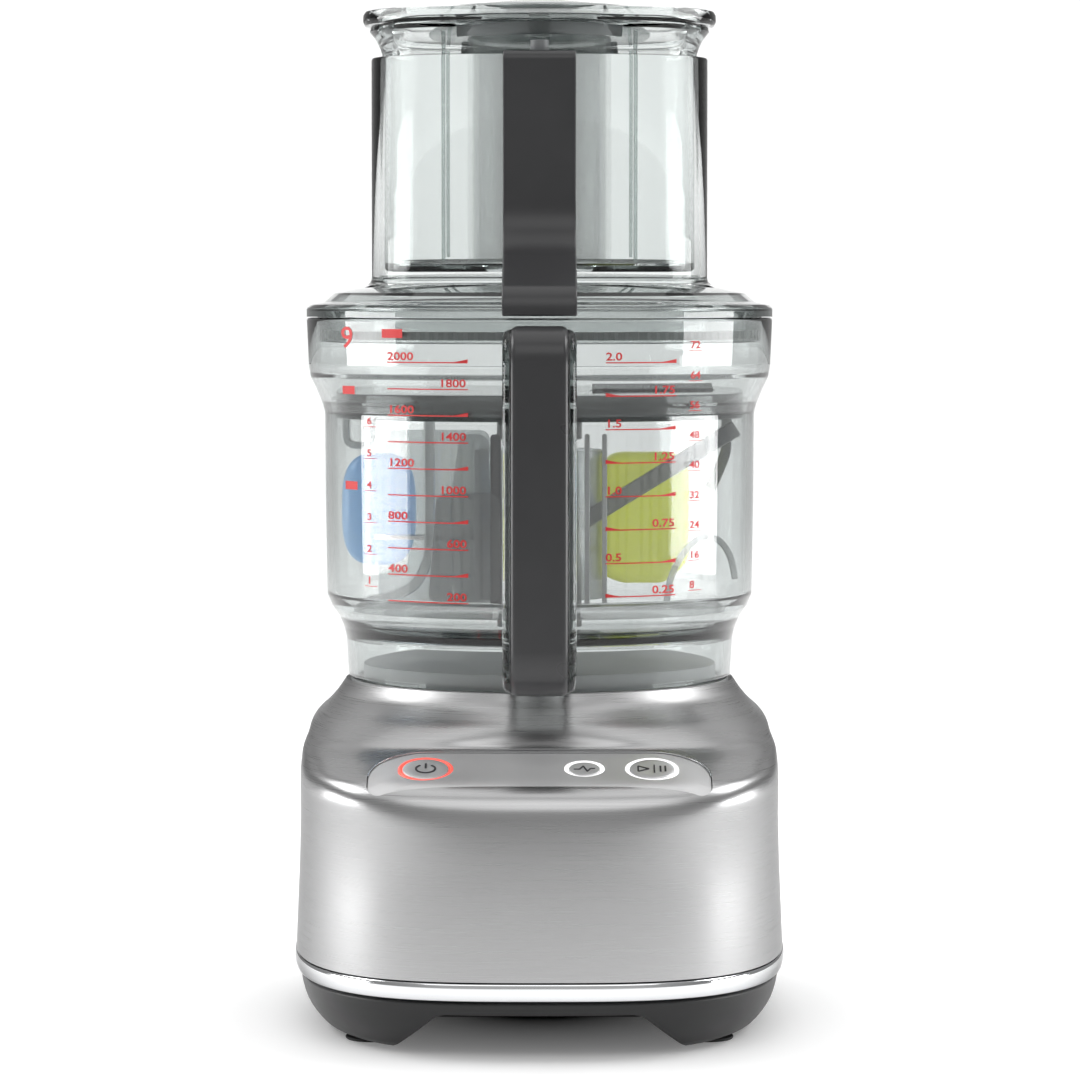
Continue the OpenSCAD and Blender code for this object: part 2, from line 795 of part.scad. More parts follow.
housing();
turret();
chrome_band();
base_tray();
band_frame();
rubber_feet();
control_panel();
power_ring();
pulse_ring();
start_ring();
button_board();
power_board();
capacitor();
motor_mount();
motor_case();
stator();
lower_bearing();
upper_bearing();
cord_gland();
base_screws();
motor_screws();
power_button();
pulse_button();
start_button();
motor_rotor();
motor_shaft();
cooling_fan();
drive_coupling();
bowl();
bowl_collar();
bowl_handle();
bowl_grip();
spindle();
left_blade();
right_blade();
blue_guard();
green_guard();
disc_rim();
disc_blade();
carrier_arm();
carrier_post();
carrier_loop();
carrier_lugs();
lid();
lid_seal();
feed_chute();
lid_handle();
interlock_spring();
interlock_pin();
large_pusher();
pusher_flange();
small_pusher();
pusher_cap();
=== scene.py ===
"""Looks of the food processor: smooth shells, clear plastic, satin steel and the printed volume scale.

The scene is in metres, in the frame of the CAD model. Sizes of the object are given in millimetres and turned
into metres by the builders; the stage is given in metres. "Reach" is the distance in front of the bowl axis.
"""
import math

import bmesh
import bpy
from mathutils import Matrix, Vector

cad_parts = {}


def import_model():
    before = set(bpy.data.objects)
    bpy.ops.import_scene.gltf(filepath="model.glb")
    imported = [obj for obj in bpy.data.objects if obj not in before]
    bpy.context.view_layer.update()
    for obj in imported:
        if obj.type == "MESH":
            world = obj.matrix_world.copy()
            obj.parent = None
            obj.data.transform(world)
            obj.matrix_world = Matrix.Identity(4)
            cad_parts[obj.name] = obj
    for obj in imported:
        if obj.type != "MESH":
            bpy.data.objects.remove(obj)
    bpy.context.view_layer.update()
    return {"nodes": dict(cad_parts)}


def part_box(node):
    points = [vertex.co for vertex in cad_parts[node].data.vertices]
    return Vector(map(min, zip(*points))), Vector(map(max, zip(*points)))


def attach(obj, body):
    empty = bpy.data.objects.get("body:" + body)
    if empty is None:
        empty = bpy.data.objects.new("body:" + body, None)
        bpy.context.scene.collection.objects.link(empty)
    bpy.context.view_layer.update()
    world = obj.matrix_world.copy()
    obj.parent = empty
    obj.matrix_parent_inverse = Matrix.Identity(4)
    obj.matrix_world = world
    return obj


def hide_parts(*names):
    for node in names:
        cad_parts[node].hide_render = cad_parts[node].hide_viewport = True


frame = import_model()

MM = 0.001
STEPS = 144  # corners round every turned or lofted piece


def middle(node):
    low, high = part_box(node)
    return (low + high) / 2


AXIS_Y = middle("spindle").y
RIM_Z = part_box("bowl")[1].z / MM  # rim of the bowl
LID_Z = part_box("lid")[0].z / MM  # lower edge of the lid's skirt
CHUTE_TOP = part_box("feed_chute")[1].z / MM
TOP_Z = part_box("pusher_cap")[1].z / MM
BAND_LOW, BAND_HIGH = (corner.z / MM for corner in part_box("chrome_band"))
GRIP_FRONT = (AXIS_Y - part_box("bowl_grip")[0].y) / MM


# ---- mesh builders

def at_axis(x, reach, z):
    """Point from millimetres: across, in front of the bowl axis, up."""
    return (x * MM, AXIS_Y - reach * MM, z * MM)


def turn_out(mesh):
    """Turns the faces of a closed mesh outwards. A cutter that is inside out cuts nothing."""
    made = bmesh.new()
    made.from_mesh(mesh)
    bmesh.ops.recalc_face_normals(made, faces=made.faces)
    made.to_mesh(mesh)
    made.free()


def show(name, data):
    """New object in the scene."""
    obj = bpy.data.objects.new(name, data)
    bpy.context.scene.collection.objects.link(obj)
    return obj


def mesh_of(name, verts, faces):
    mesh = bpy.data.meshes.new(name)
    mesh.from_pydata(verts, [], faces)
    return mesh


def baked(obj):
    """New mesh of an object with its modifiers."""
    bpy.context.view_layer.update()
    return bpy.data.meshes.new_from_object(obj.evaluated_get(bpy.context.evaluated_depsgraph_get()))


def sharpen(obj, degrees):
    obj.data.set_sharp_from_angle(angle=math.radians(degrees))


def piece(name, verts, faces, body, material, slot, replaces=(), sharp=35):
    """Makes one shown piece, smooth except at edges sharper than sharp degrees."""
    mesh = mesh_of(name, verts, faces)
    mesh.validate()
    turn_out(mesh)
    return dress(show(name, mesh), body, material, replaces, sharp)


def dress(obj, body, material, replaces=(), sharp=35):
    """Shades an object, ties it to its body and hides the CAD nodes that it stands for."""
    obj.data.shade_smooth()
    sharpen(obj, sharp)
    obj.data.materials.clear()
    obj.data.materials.append(material)
    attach(obj, body)
    if replaces:
        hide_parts(*replaces)
    return obj


def superellipse(angle, half_w, front, rear, n):
    """Radius of a rounded plan at an angle; front counts towards -Y."""
    c, s = math.cos(angle), math.sin(angle)
    depth = front if s < 0 else rear
    return 1 / ((abs(c) / half_w) ** n + (abs(s) / depth) ** n) ** (1 / n)


def plan(half_w, front, rear, n):
    return lambda angle: superellipse(angle, half_w, front, rear, n)


def oval(half_w, half_d):
    """Plan that the chute and the pushers share."""
    return plan(half_w, half_d, half_d, 2.6)


def ring_verts(radius, z):
    """One ring about the bowl axis; radius is a number or a function of the angle."""
    verts = []
    for i in range(STEPS):
        angle = math.tau * i / STEPS
        r = radius(angle) if callable(radius) else radius
        verts.append(at_axis(r * math.cos(angle), -r * math.sin(angle), z))
    return verts


def loft(rings, closed=True):
    """Vertices and faces over rings of (radius, z); the last joins the first, or open ends are capped."""
    verts, faces = [], []
    for radius, z in rings:
        verts += ring_verts(radius, z)
    count = len(rings)
    for j in range(count if closed else count - 1):
        a, b = j * STEPS, (j + 1) % count * STEPS
        for i in range(STEPS):
            k = (i + 1) % STEPS
            faces.append((a + i, a + k, b + k, b + i))
    if not closed:
        faces += [tuple(reversed(range(STEPS))), tuple((count - 1) * STEPS + i for i in range(STEPS))]
    return verts, faces


def prism(verts):
    """Vertices and faces of a solid between two copies of one outline, given one after the other."""
    count = len(verts) // 2
    faces = [tuple(reversed(range(count))), tuple(range(count, 2 * count))]
    return verts, faces + [(i, (i + 1) % count, count + (i + 1) % count, count + i) for i in range(count)]


def hoop(count, size, start=0, closed=True):
    """Faces that join count closed sections of size points, one after the other."""
    return [(start + i * size + j, start + (i + 1) % count * size + j,
             start + (i + 1) % count * size + (j + 1) % size, start + i * size + (j + 1) % size)
            for i in range(count if closed else count - 1) for j in range(size)]


def merged(shapes):
    """Several pairs of vertices and faces as one pair."""
    verts, faces = [], []
    for v, f in shapes:
        faces += [tuple(i + len(verts) for i in face) for face in f]
        verts += v
    return verts, faces


def rounded(points, radius, steps=4, closed=True):
    """The outline with each corner rounded; a corner keeps short neighbours whole."""
    count = len(points)
    made = []
    for i, p in enumerate(points):
        p = Vector(p)
        if not closed and i in (0, count - 1):
            made.append(tuple(p))
            continue
        a, b = Vector(points[i - 1]), Vector(points[(i + 1) % count])
        u, v = a - p, b - p
        turn = math.pi - u.angle(v)
        if turn < math.radians(6):
            made.append(tuple(p))
            continue
        reach = min(radius * math.tan(turn / 2), 0.45 * u.length, 0.45 * v.length)
        q0, q1 = p + u.normalized() * reach, p + v.normalized() * reach
        for k in range(steps + 1):
            t = k / steps
            made.append(tuple((1 - t) ** 2 * q0 + 2 * t * (1 - t) * p + t * t * q1))
    return made


def arc(centre, r, a0, a1, steps=10):
    """Points of an arc between two angles in degrees."""
    angles = [math.radians(a0 + (a1 - a0) * k / steps) for k in range(steps + 1)]
    return [(centre[0] + r * math.cos(a), centre[1] + r * math.sin(a)) for a in angles]


def turned(name, profile, body, material, slot, replaces=(), radius=0.6):
    """Solid of revolution about the bowl axis from a closed outline of (radius, z)."""
    verts, faces = loft(rounded(profile, radius))
    return piece(name, verts, faces, body, material, slot, replaces)


def add_bevel(obj, width, segments=3, angle=30):
    bevel = obj.modifiers.new("bevel", "BEVEL")
    bevel.width = width * MM
    bevel.segments = segments
    bevel.limit_method = "ANGLE"
    bevel.angle_limit = math.radians(angle)
    bevel.harden_normals = True
    return obj


def slab(name, outline, width, body, material, slot, replaces=(), bevel=1.0, segments=4, x=0):
    """Upright slab centred on x from a closed outline of (reach, z), with bevelled edges."""
    verts = [at_axis(x + side * width / 2, reach, z) for side in (-1, 1) for reach, z in outline]
    return add_bevel(piece(name, *prism(verts), body, material, slot, replaces), bevel, segments)


def cut(obj, verts, faces):
    """Takes a solid away from obj for good."""
    solid = mesh_of("cutter", verts, faces)
    turn_out(solid)
    cutter = show("cutter", solid)
    boolean = obj.modifiers.new("cut", "BOOLEAN")
    boolean.operation = "DIFFERENCE"
    boolean.solver = "EXACT"
    boolean.object = cutter
    mesh = baked(obj)
    obj.modifiers.remove(boolean)
    old, obj.data = obj.data, mesh
    bpy.data.meshes.remove(old)
    bpy.data.objects.remove(cutter)


def smooth_rows(rows, per_span):
    """Monotone cubic through rows of numbers, with per_span steps between neighbours."""
    def slope(k, i):
        if i in (0, len(rows) - 1):
            j = min(i, len(rows) - 2)
            return rows[j + 1][k] - rows[j][k]
        a, b = rows[i][k] - rows[i - 1][k], rows[i + 1][k] - rows[i][k]
        return 0 if a * b <= 0 else 2 * a * b / (a + b)
    made = []
    for i in range(len(rows) - 1):
        for step in range(per_span):
            t = step / per_span
            h = (2 * t ** 3 - 3 * t * t + 1, t ** 3 - 2 * t * t + t, 3 * t * t - 2 * t ** 3, t ** 3 - t * t)
            made.append([h[0] * rows[i][k] + h[1] * slope(k, i) + h[2] * rows[i + 1][k]
                         + h[3] * slope(k, i + 1) for k in range(len(rows[0]))])
    return made + [list(rows[-1])]


# ---- materials

NOISE_LOW, NOISE_HIGH = 0.3, 0.7
ABSORBED = (0.66, 0.69, 0.685, 1)  # tint of a long way through clear plastic


def shader(name, colour, **settings):
    """New material with a Principled shader; settings are socket names with underscores for spaces."""
    material = bpy.data.materials.new(name)
    material.use_nodes = True
    node = material.node_tree.nodes["Principled BSDF"]
    node.inputs["Base Color"].default_value = (*colour, 1)
    for key, value in settings.items():
        node.inputs[key.replace("_", " ")].default_value = value
    return material, material.node_tree, node


def add_node(tree, kind, links=(), **settings):
    """New node. Settings are socket names with underscores for spaces; links are (output, input socket)."""
    node = tree.nodes.new("ShaderNode" + kind)
    for key, value in settings.items():
        node.inputs[key.replace("_", " ")].default_value = value
    for output, socket in links:
        tree.links.new(output, node.inputs[socket])
    return node


def noise(tree, scale, detail=4, stretch=(1, 1, 1)):
    """Noise in the object's own coordinates, stretched along the axes."""
    coords = add_node(tree, "TexCoord")
    mapping = add_node(tree, "Mapping", [(coords.outputs["Object"], "Vector")], Scale=stretch)
    texture = add_node(tree, "TexNoise", [(mapping.outputs["Vector"], "Vector")],
                       Scale=scale, Detail=detail, Roughness=0.55)
    return texture.outputs["Fac"]


def remap(tree, value, low, high, socket):
    """Sends a noise value to a socket: its usual span, NOISE_LOW to NOISE_HIGH, becomes low to high."""
    node = add_node(tree, "MapRange", [(value, "Value")],
                    From_Min=NOISE_LOW, From_Max=NOISE_HIGH, To_Min=low, To_Max=high)
    tree.links.new(node.outputs["Result"], socket)


def bump(tree, value, socket, strength, distance):
    node = add_node(tree, "Bump", [(value, "Height")], Strength=strength, Distance=distance * MM)
    tree.links.new(node.outputs["Normal"], socket)


def tint(tree, value, dark, light, socket):
    """Blends two near colours by a noise value, for the slight variation of a real surface."""
    ramp = tree.nodes.new("ShaderNodeValToRGB")
    for element, place, colour in zip(ramp.color_ramp.elements, (NOISE_LOW, NOISE_HIGH), (dark, light)):
        element.position = place
        element.color = (*colour, 1)
    tree.links.new(value, ramp.inputs["Fac"])
    tree.links.new(ramp.outputs["Color"], socket)


def scaled(colour, factor):
    return tuple(min(1, c * factor) for c in colour)


def brushed(name, colour, rough, grain=(4, 4, 900), depth=0.012, metal=1.0):
    """Metal with a fine grain, stretched by grain along the axes."""
    material, tree, node = shader(name, colour, Metallic=metal, Roughness=rough, Anisotropic=0.45,
                                  Specular_Tint=(0.45, 0.45, 0.45, 1))
    fine = noise(tree, 6, 3, grain)
    broad = noise(tree, 9, 2)
    remap(tree, fine, rough - 0.05, rough + 0.06, node.inputs["Roughness"])
    tint(tree, broad, scaled(colour, 0.97), scaled(colour, 1.03), node.inputs["Base Color"])
    bump(tree, fine, node.inputs["Normal"], 0.12, depth)
    return material


def moulded(name, colour, rough, depth=0.02, scale=900):
    """Opaque moulded plastic or rubber with a fine texture and slight unevenness."""
    material, tree, node = shader(name, colour, Roughness=rough)
    fine = noise(tree, scale, 4)
    broad = noise(tree, 30, 3)
    remap(tree, broad, rough - 0.04, rough + 0.05, node.inputs["Roughness"])
    tint(tree, broad, scaled(colour, 0.92), scaled(colour, 1.08), node.inputs["Base Color"])
    bump(tree, fine, node.inputs["Normal"], 0.25, depth)
    return material


def clear(name, colour, rough=0.02, ior=1.5, flow=0.03, clarity=1.0, depth=None, glow=0.0):
    """Clear plastic with faint flow marks from moulding; depth tints long ways through it (1 per metre).

    Glow is painted light: an emission that stands for the light that milky plastic gathers from behind.
    """
    material, tree, node = shader(name, colour, Roughness=rough, IOR=ior, Transmission_Weight=clarity,
                                  Emission_Color=(*colour, 1), Emission_Strength=glow)
    marks = noise(tree, 22, 2, (1, 1, 0.35))
    haze = noise(tree, 60, 3)
    remap(tree, haze, max(0.0, rough - 0.015), rough + 0.02, node.inputs["Roughness"])
    tint(tree, marks, scaled(colour, 0.985), scaled(colour, 1.01), node.inputs["Base Color"])
    bump(tree, marks, node.inputs["Normal"], 0.15, flow)
    if depth:
        inside = add_node(tree, "VolumeAbsorption", Color=ABSORBED, Density=depth)
        tree.links.new(inside.outputs["Volume"], tree.nodes["Material Output"].inputs["Volume"])
    return material


def film(name, colour, alpha):
    """Thin clear wall seen through others: a faint veil of its colour without bending the light."""
    material, tree, node = shader(name, colour, Roughness=0.08, Alpha=alpha)
    marks = noise(tree, 18, 2, (1, 1, 0.3))
    tint(tree, marks, scaled(colour, 0.95), scaled(colour, 1.03), node.inputs["Base Color"])
    bump(tree, marks, node.inputs["Normal"], 0.1, 0.03)
    return material


def lit(name, colour, strength):
    """Lamp ring behind a frosted lens."""
    material, tree, node = shader(name, colour, Roughness=0.35, Emission_Strength=strength)
    patches = noise(tree, 160, 2)
    tint(tree, patches, scaled(colour, 0.85), colour, node.inputs["Emission Color"])
    return material


STEEL = brushed("brushed_steel", (0.47, 0.47, 0.473), 0.3)
# the fascia and the button caps are the housing's steel made paler and half diffuse: painted light for the
# bright backdrop that they reflect
LIT_PANEL_STEEL = brushed("panel_steel_painted_light", (0.72, 0.72, 0.723), 0.38, (900, 4, 4), metal=0.5)
LIT_CAP_STEEL = brushed("button_steel", (0.74, 0.74, 0.745), 0.36, (900, 4, 4), metal=0.5)
BRIGHT_STEEL = brushed("bright_steel", (0.72, 0.72, 0.73), 0.2, (300, 300, 8))
MOTOR_STEEL = brushed("motor_steel", (0.3, 0.31, 0.33), 0.45, (4, 4, 300))
CHROME = brushed("chrome", (0.86, 0.87, 0.88), 0.09, (3, 3, 60), 0.002)
DARK = moulded("dark_plastic", (0.036, 0.036, 0.038), 0.3, 0.012)
TRAY = moulded("tray_plastic", (0.008, 0.008, 0.0085), 0.42, 0.02)
GREY = moulded("grey_plastic", (0.2, 0.21, 0.215), 0.4)
RUBBER = moulded("rubber", (0.015, 0.015, 0.016), 0.75, 0.05, 600)
SILICONE = moulded("silicone", (0.72, 0.73, 0.72), 0.5)
WHITE_PLASTIC = moulded("white_plastic", (0.75, 0.75, 0.73), 0.45)
BOARD = moulded("circuit_board", (0.02, 0.11, 0.045), 0.45)
COPPER = brushed("copper", (0.72, 0.35, 0.2), 0.35, (4, 4, 500), 0.05)
BLUE_CAN = moulded("capacitor_sleeve", (0.03, 0.08, 0.3), 0.3)
MARK = moulded("dark_print", (0.04, 0.04, 0.045), 0.5)
RED_PRINT = moulded("red_print", (0.62, 0.03, 0.03), 0.5)
CLEAR = clear("clear_plastic", (0.975, 0.985, 0.982), ior=1.36, depth=70)
CLEAR_BOWL = clear("bowl_plastic", (0.985, 0.992, 0.99), depth=230)
CLEAR_LID = clear("clear_lid", (0.9, 0.912, 0.91), depth=200)
FROSTED = clear("frosted_clear", (0.72, 0.745, 0.745), 0.1, clarity=0.6)
SMOKY = clear("smoky_plastic", (0.15, 0.165, 0.165), 0.08)
# blue and green plastic glow with painted light; these parts are no lamps
BLUE = clear("blue_plastic", (0.36, 0.66, 0.99), 0.25, clarity=0.15, glow=0.22)
GREEN = clear("green_plastic", (0.80, 0.86, 0.01), 0.3, clarity=0.1, glow=0.3)
SEAT = moulded("seat_plastic", (0.62, 0.63, 0.63), 0.35)
SLEEVE = clear("sleeve_plastic", (0.34, 0.36, 0.36), 0.1, clarity=0.7)
PALE_SLEEVE = clear("pale_sleeve", (0.6, 0.63, 0.63), 0.08, clarity=0.85)
# near-black plastic is painted shade on the carrier's left rib; pale plastic is a painted highlight on its
# right edges
PAINTED_SHADE_SLEEVE = moulded("shaded_plastic", (0.03, 0.03, 0.032), 0.3)
PAINTED_HIGHLIGHT_EDGE = moulded("painted_edge_highlight", (0.75, 0.76, 0.76), 0.25)
HUB = clear("hub_plastic", (0.3, 0.32, 0.33), 0.2, clarity=0.35)
RIB = clear("rib_plastic", (0.55, 0.6, 0.59), 0.05)
# dark clear plastic for the pusher's skirt: painted shade under its flange
SHADED_SKIRT = clear("skirt_plastic_painted_shade", (0.2, 0.22, 0.22), 0.15, clarity=0.4)
CAP = clear("cap_plastic", (0.36, 0.42, 0.41), 0.15, clarity=0.45)
INNER = film("inner_clear", (0.62, 0.67, 0.66), 0.12)
MILKY = film("milky_panel", (0.9, 0.92, 0.92), 0.07)
RED_LIGHT = lit("red_light", (1.0, 0.11, 0.08), 1.0)
WHITE_LIGHT = lit("white_light", (1.0, 1.0, 1.0), 0.9)


# ---- motor base

HOUSING = [  # height, half width, reach in front, reach behind, squareness
    (BAND_HIGH + 0.3, 95.7, 132.7, 94.7, 3.1), (63.6, 94.2, 132, 94, 3.2), (80, 93.6, 131.3, 93.5, 3.4),
    (90, 93.3, 130.3, 93, 3.7), (96, 93.1, 128, 92.6, 4), (101.2, 93, 123, 92, 4.1),
    (106.6, 92.7, 106.5, 91.5, 4.1), (112, 91, 90.4, 90.5, 3.6), (115.3, 90.2, 88.9, 89.2, 3),
    (118.8, 87.8, 86.6, 86.4, 2.6), (122.4, 84, 83.4, 82.8, 2.3), (126.5, 80.4, 80, 79.5, 2.1),
    (131.4, 77, 77, 77, 2)]
HOUSING_WALL = 2
GLAND_R = 8.05  # hole for the cord gland in the rear wall
PANEL_W, PANEL_D = 128, 33
PANEL_UPPER_R, PANEL_LOWER_R = 20, 6  # its corner radii
PANEL_REACH, PANEL_Z, PANEL_DROP = 106.5, 106.6, 0.8
PANEL_TILT = math.radians(18.2)
BUTTONS = {"power": (-42.6, 10.25), "pulse": (16.8, 7.5), "start": (42.1, 10.0)}  # place, ring radius
RING_W = 1.15


def section_rings(rows, inset=0, drop=0):
    return [(plan(w - inset, f - inset, r - inset, n), z - drop) for z, w, f, r, n in rows]


def on_panel(x, up, out=0):
    """Point on the fascia: across, up its slope, and out along its normal."""
    c, s = math.cos(PANEL_TILT), math.sin(PANEL_TILT)
    out -= PANEL_DROP
    return at_axis(x, PANEL_REACH - up * c + out * s, PANEL_Z + up * s + out * c)


def panel_outline(more, steps=10):
    """Outline of the fascia as (across, up its slope), wider and deeper than it by more."""
    w, d = PANEL_W + more, PANEL_D + more
    corners = ((1, 1, PANEL_UPPER_R), (-1, 1, PANEL_UPPER_R), (-1, -1, PANEL_LOWER_R), (1, -1, PANEL_LOWER_R))
    return [point for k, (across, back, r) in enumerate(corners)
            for point in arc((across * (w / 2 - r), back * (d / 2 - r)), r, 90 * k, 90 * k + 90, steps)]


def panel_solid(outline, low, high):
    """Vertices and faces of an outline extruded along the fascia's normal."""
    return prism([on_panel(x, up, out) for out in (low, high) for x, up in outline])


def circle(x, radius, steps=64):
    return [(x + radius * math.cos(math.tau * k / steps), radius * math.sin(math.tau * k / steps))
            for k in range(steps)]


def shell_height(x, reach, rows=smooth_rows(HOUSING, 5)):
    """Height in millimetres of the housing's outside over a place on its upper side."""
    low, high = 80, 131
    for _ in range(30):
        z = (low + high) / 2
        row = next(i for i in range(len(rows) - 1) if z <= rows[i + 1][0])
        t = (z - rows[row][0]) / (rows[row + 1][0] - rows[row][0])
        w, f, n = (rows[row][k] + (rows[row + 1][k] - rows[row][k]) * t for k in (1, 2, 4))
        inside = (abs(x) / w) ** n + (reach / f) ** n < 1
        low, high = (z, high) if inside else (low, z)
    return low


def on_shell(x, up, out=0):
    """Point over the fascia's place, up its slope, at a height measured from the housing's own curve."""
    reach = PANEL_REACH - up * math.cos(PANEL_TILT)
    return at_axis(x, reach, shell_height(x, reach) + out)


def housing():
    rows = smooth_rows(HOUSING, 5)
    outer = section_rings(rows)
    inner = section_rings(rows[::-1], HOUSING_WALL, HOUSING_WALL)
    inner[-1] = (inner[-1][0], rows[0][0])
    shell = piece("housing_shell", *loft(outer + inner), "base", STEEL, "brushed_steel", ["housing"], 50)
    recess = panel_outline(0.6)
    cut(shell, *panel_solid(recess, -8, 12))
    sharpen(shell, 40)
    # a bright steel bead only along the fascia's upper edge: painted highlight of a lit bevel
    rim = panel_outline(0.1, 16)
    upper = [on_shell(x, up, -0.12) for x, up in rim if up > -4]
    bead("panel_edge_highlight", upper, 0.3, "base", BRIGHT_STEEL)
    low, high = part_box("cord_gland")
    middle_x, middle_z, wall_y = (low.x + high.x) / 2, (low.z + high.z) / 2, high.y
    hole = [(middle_x + u * MM, wall_y + out * MM, middle_z + v * MM)
            for out in (-20, 20) for u, v in circle(0, GLAND_R)]
    cut(shell, *prism(hole))


def bead(name, points, radius, body, material):
    """Round wire along points in metres."""
    curve = bpy.data.curves.new(name + "_line", "CURVE")
    curve.dimensions = "3D"
    spline = curve.splines.new("POLY")
    spline.points.add(len(points) - 1)
    for target, p in zip(spline.points, points):
        target.co = (*p, 1)
    curve.bevel_depth = radius * MM
    curve.bevel_resolution = 1
    curve.use_fill_caps = True
    line = show(name + "_line", curve)
    mesh = baked(line)
    bpy.data.objects.remove(line)
    dress(show(name, mesh), body, material, sharp=60)


def control_panel():
    """Fascia that follows the housing's curve, a little below it."""
    rim = panel_outline(-0.1, 16)
    count, rings = len(rim), 12
    verts, faces = [], []
    for depth in (-0.3, -2.2):
        start = len(verts)
        for k in range(rings):
            t = 1 - k / rings
            drop = depth - (0.25 if k == 0 and depth > -1 else 0)
            verts += [on_shell(x * t, up * t, drop) for x, up in rim]
        verts.append(on_shell(0, 0, depth))
        for k in range(rings - 1):
            a, b = start + k * count, start + (k + 1) * count
            faces += [(a + i, a + (i + 1) % count, b + (i + 1) % count, b + i) for i in range(count)]
        last = start + (rings - 1) * count
        faces += [(last + i, last + (i + 1) % count, start + rings * count) for i in range(count)]
    half = len(verts) // 2
    faces += [(i, (i + 1) % count, half + (i + 1) % count, half + i) for i in range(count)]
    # the fascia's paler steel is painted light
    plate = piece("control_fascia", verts, faces, "base", LIT_PANEL_STEEL, "satin_panel", ["control_panel"])
    for x, radius in BUTTONS.values():
        cut(plate, *panel_solid(circle(x, radius + 0.15), -5, 6))
    sharpen(plate, 30)


def about(x, section, count):
    """A section of (radius, height) turned about a button's centre, at count angles."""
    return [on_panel(x + r * math.cos(a), r * math.sin(a), h)
            for a in (math.tau * i / count for i in range(count)) for r, h in section]


def annulus(name, x, r_in, r_out, low, high, body, material, slot, replaces=()):
    """Ring on the fascia with a rounded crown."""
    count, crown = 64, 5
    r_mid, half = (r_in + r_out) / 2, (r_out - r_in) / 2
    section = [(r_in, low)] + [(r_mid - half * math.cos(math.pi * k / crown),
                                high - 0.35 + 0.35 * math.sin(math.pi * k / crown))
                               for k in range(crown + 1)] + [(r_out, low)]
    verts = about(x, section, count)
    piece(name, verts, hoop(count, len(section)), body, material, slot, replaces, 60)


def dished_cap(name, x, radius, body, replaces):
    """Button cap: rolled edge, slightly dished top, stem below."""
    section = [(0, -6), (2.5, -6), (2.5, -3), (radius, -3), (radius, 0.0), (radius - 0.2, 0.35),
               (radius - 0.6, 0.5), (radius * 0.6, 0.38), (radius * 0.3, 0.32), (0, 0.3)]
    count = 64
    verts = [on_panel(x, 0, section[0][1]), on_panel(x, 0, section[-1][1])]
    rows = section[1:-1]
    verts += about(x, rows, count)
    size, faces = len(rows), []
    for i in range(count):
        a, b = 2 + i * size, 2 + (i + 1) % count * size
        faces.append((0, b, a))
        faces.append((1, a + size - 1, b + size - 1))
        faces += [(a + j, b + j, b + j + 1, a + j + 1) for j in range(size - 1)]
    # the caps' paler steel is painted light
    piece(name, verts, faces, body, LIT_CAP_STEEL, "button_steel", replaces, 40)


def stroke(points, width):
    """Closed outline of a line of the given width with flat ends."""
    left, right = [], []
    for i, p in enumerate(points):
        a, b = Vector(points[max(i - 1, 0)]), Vector(points[min(i + 1, len(points) - 1)])
        d = (b - a).normalized()
        side = Vector((-d.y, d.x)) * width / 2
        left.append(tuple(Vector(p) + side))
        right.append(tuple(Vector(p) - side))
    return left + right[::-1]


def strokes(points, width):
    """One straight stroke for each span of a line with sharp corners."""
    return [stroke([a, b], width) for a, b in zip(points, points[1:])]


def icon(button, shapes):
    """Dark symbol of thin solids on a button."""
    x = BUTTONS[button][0]
    solids = [panel_solid([(x + u, w) for u, w in outline], 0.25, 0.56) for outline in shapes]
    piece(button + "_mark", *merged(solids), button + "_button", MARK, "dark_plastic")


def buttons():
    for name, (x, radius) in BUTTONS.items():
        light, slot = (RED_LIGHT, "red_light") if name == "power" else (WHITE_LIGHT, "white_light")
        annulus(name + "_light", x, radius - RING_W, radius, -2, 0.45, "base", light, slot, [name + "_ring"])
        dished_cap(name + "_cap", x, radius - RING_W - 0.3, name + "_button", [name + "_button"])
    icon("power", [stroke(arc((0, 0), 3.6, 125, 415, 30), 0.75), stroke([(0, 0.6), (0, 4.6)], 0.75)])
    wave = strokes([(-4, -0.4), (-1.8, -0.4), (-0.4, 2.4), (1.1, -2.4), (2.3, 0.2), (4, 0.2)], 0.55)
    icon("pulse", wave)
    play = strokes([(-5.2, -2.4), (-1.2, 0), (-5.2, 2.4), (-5.2, -2.4)], 0.6)
    bars = [[(a, -2.4), (a + 0.7, -2.4), (a + 0.7, 2.4), (a, 2.4)] for a in (2.8, 4.6)]
    icon("start", play + [[(0.6, -3.4), (1.1, -3.4), (1.1, 3.4), (0.6, 3.4)]] + bars)


def chrome_band():
    mid = (BAND_LOW + BAND_HIGH) / 2
    half = (BAND_HIGH - BAND_LOW) / 2 - 0.2
    rows = [(mid + half * math.sin(a), 94.9 + 1.3 * math.cos(a) ** 0.7 + 0.1 * half * math.sin(a))
            for a in (math.radians(d) for d in range(-89, 90, 14))]
    rings = [(plan(w, w + 36.9, w - 1.1, 3.1), z) for z, w in rows]
    rings += [(plan(92.7, 129.7, 91.7, 3.1), z) for z in (BAND_HIGH - 0.2, BAND_LOW + 0.2)]
    piece("chrome_trim", *loft(rings), "base", CHROME, "chrome", ["chrome_band"], 50)


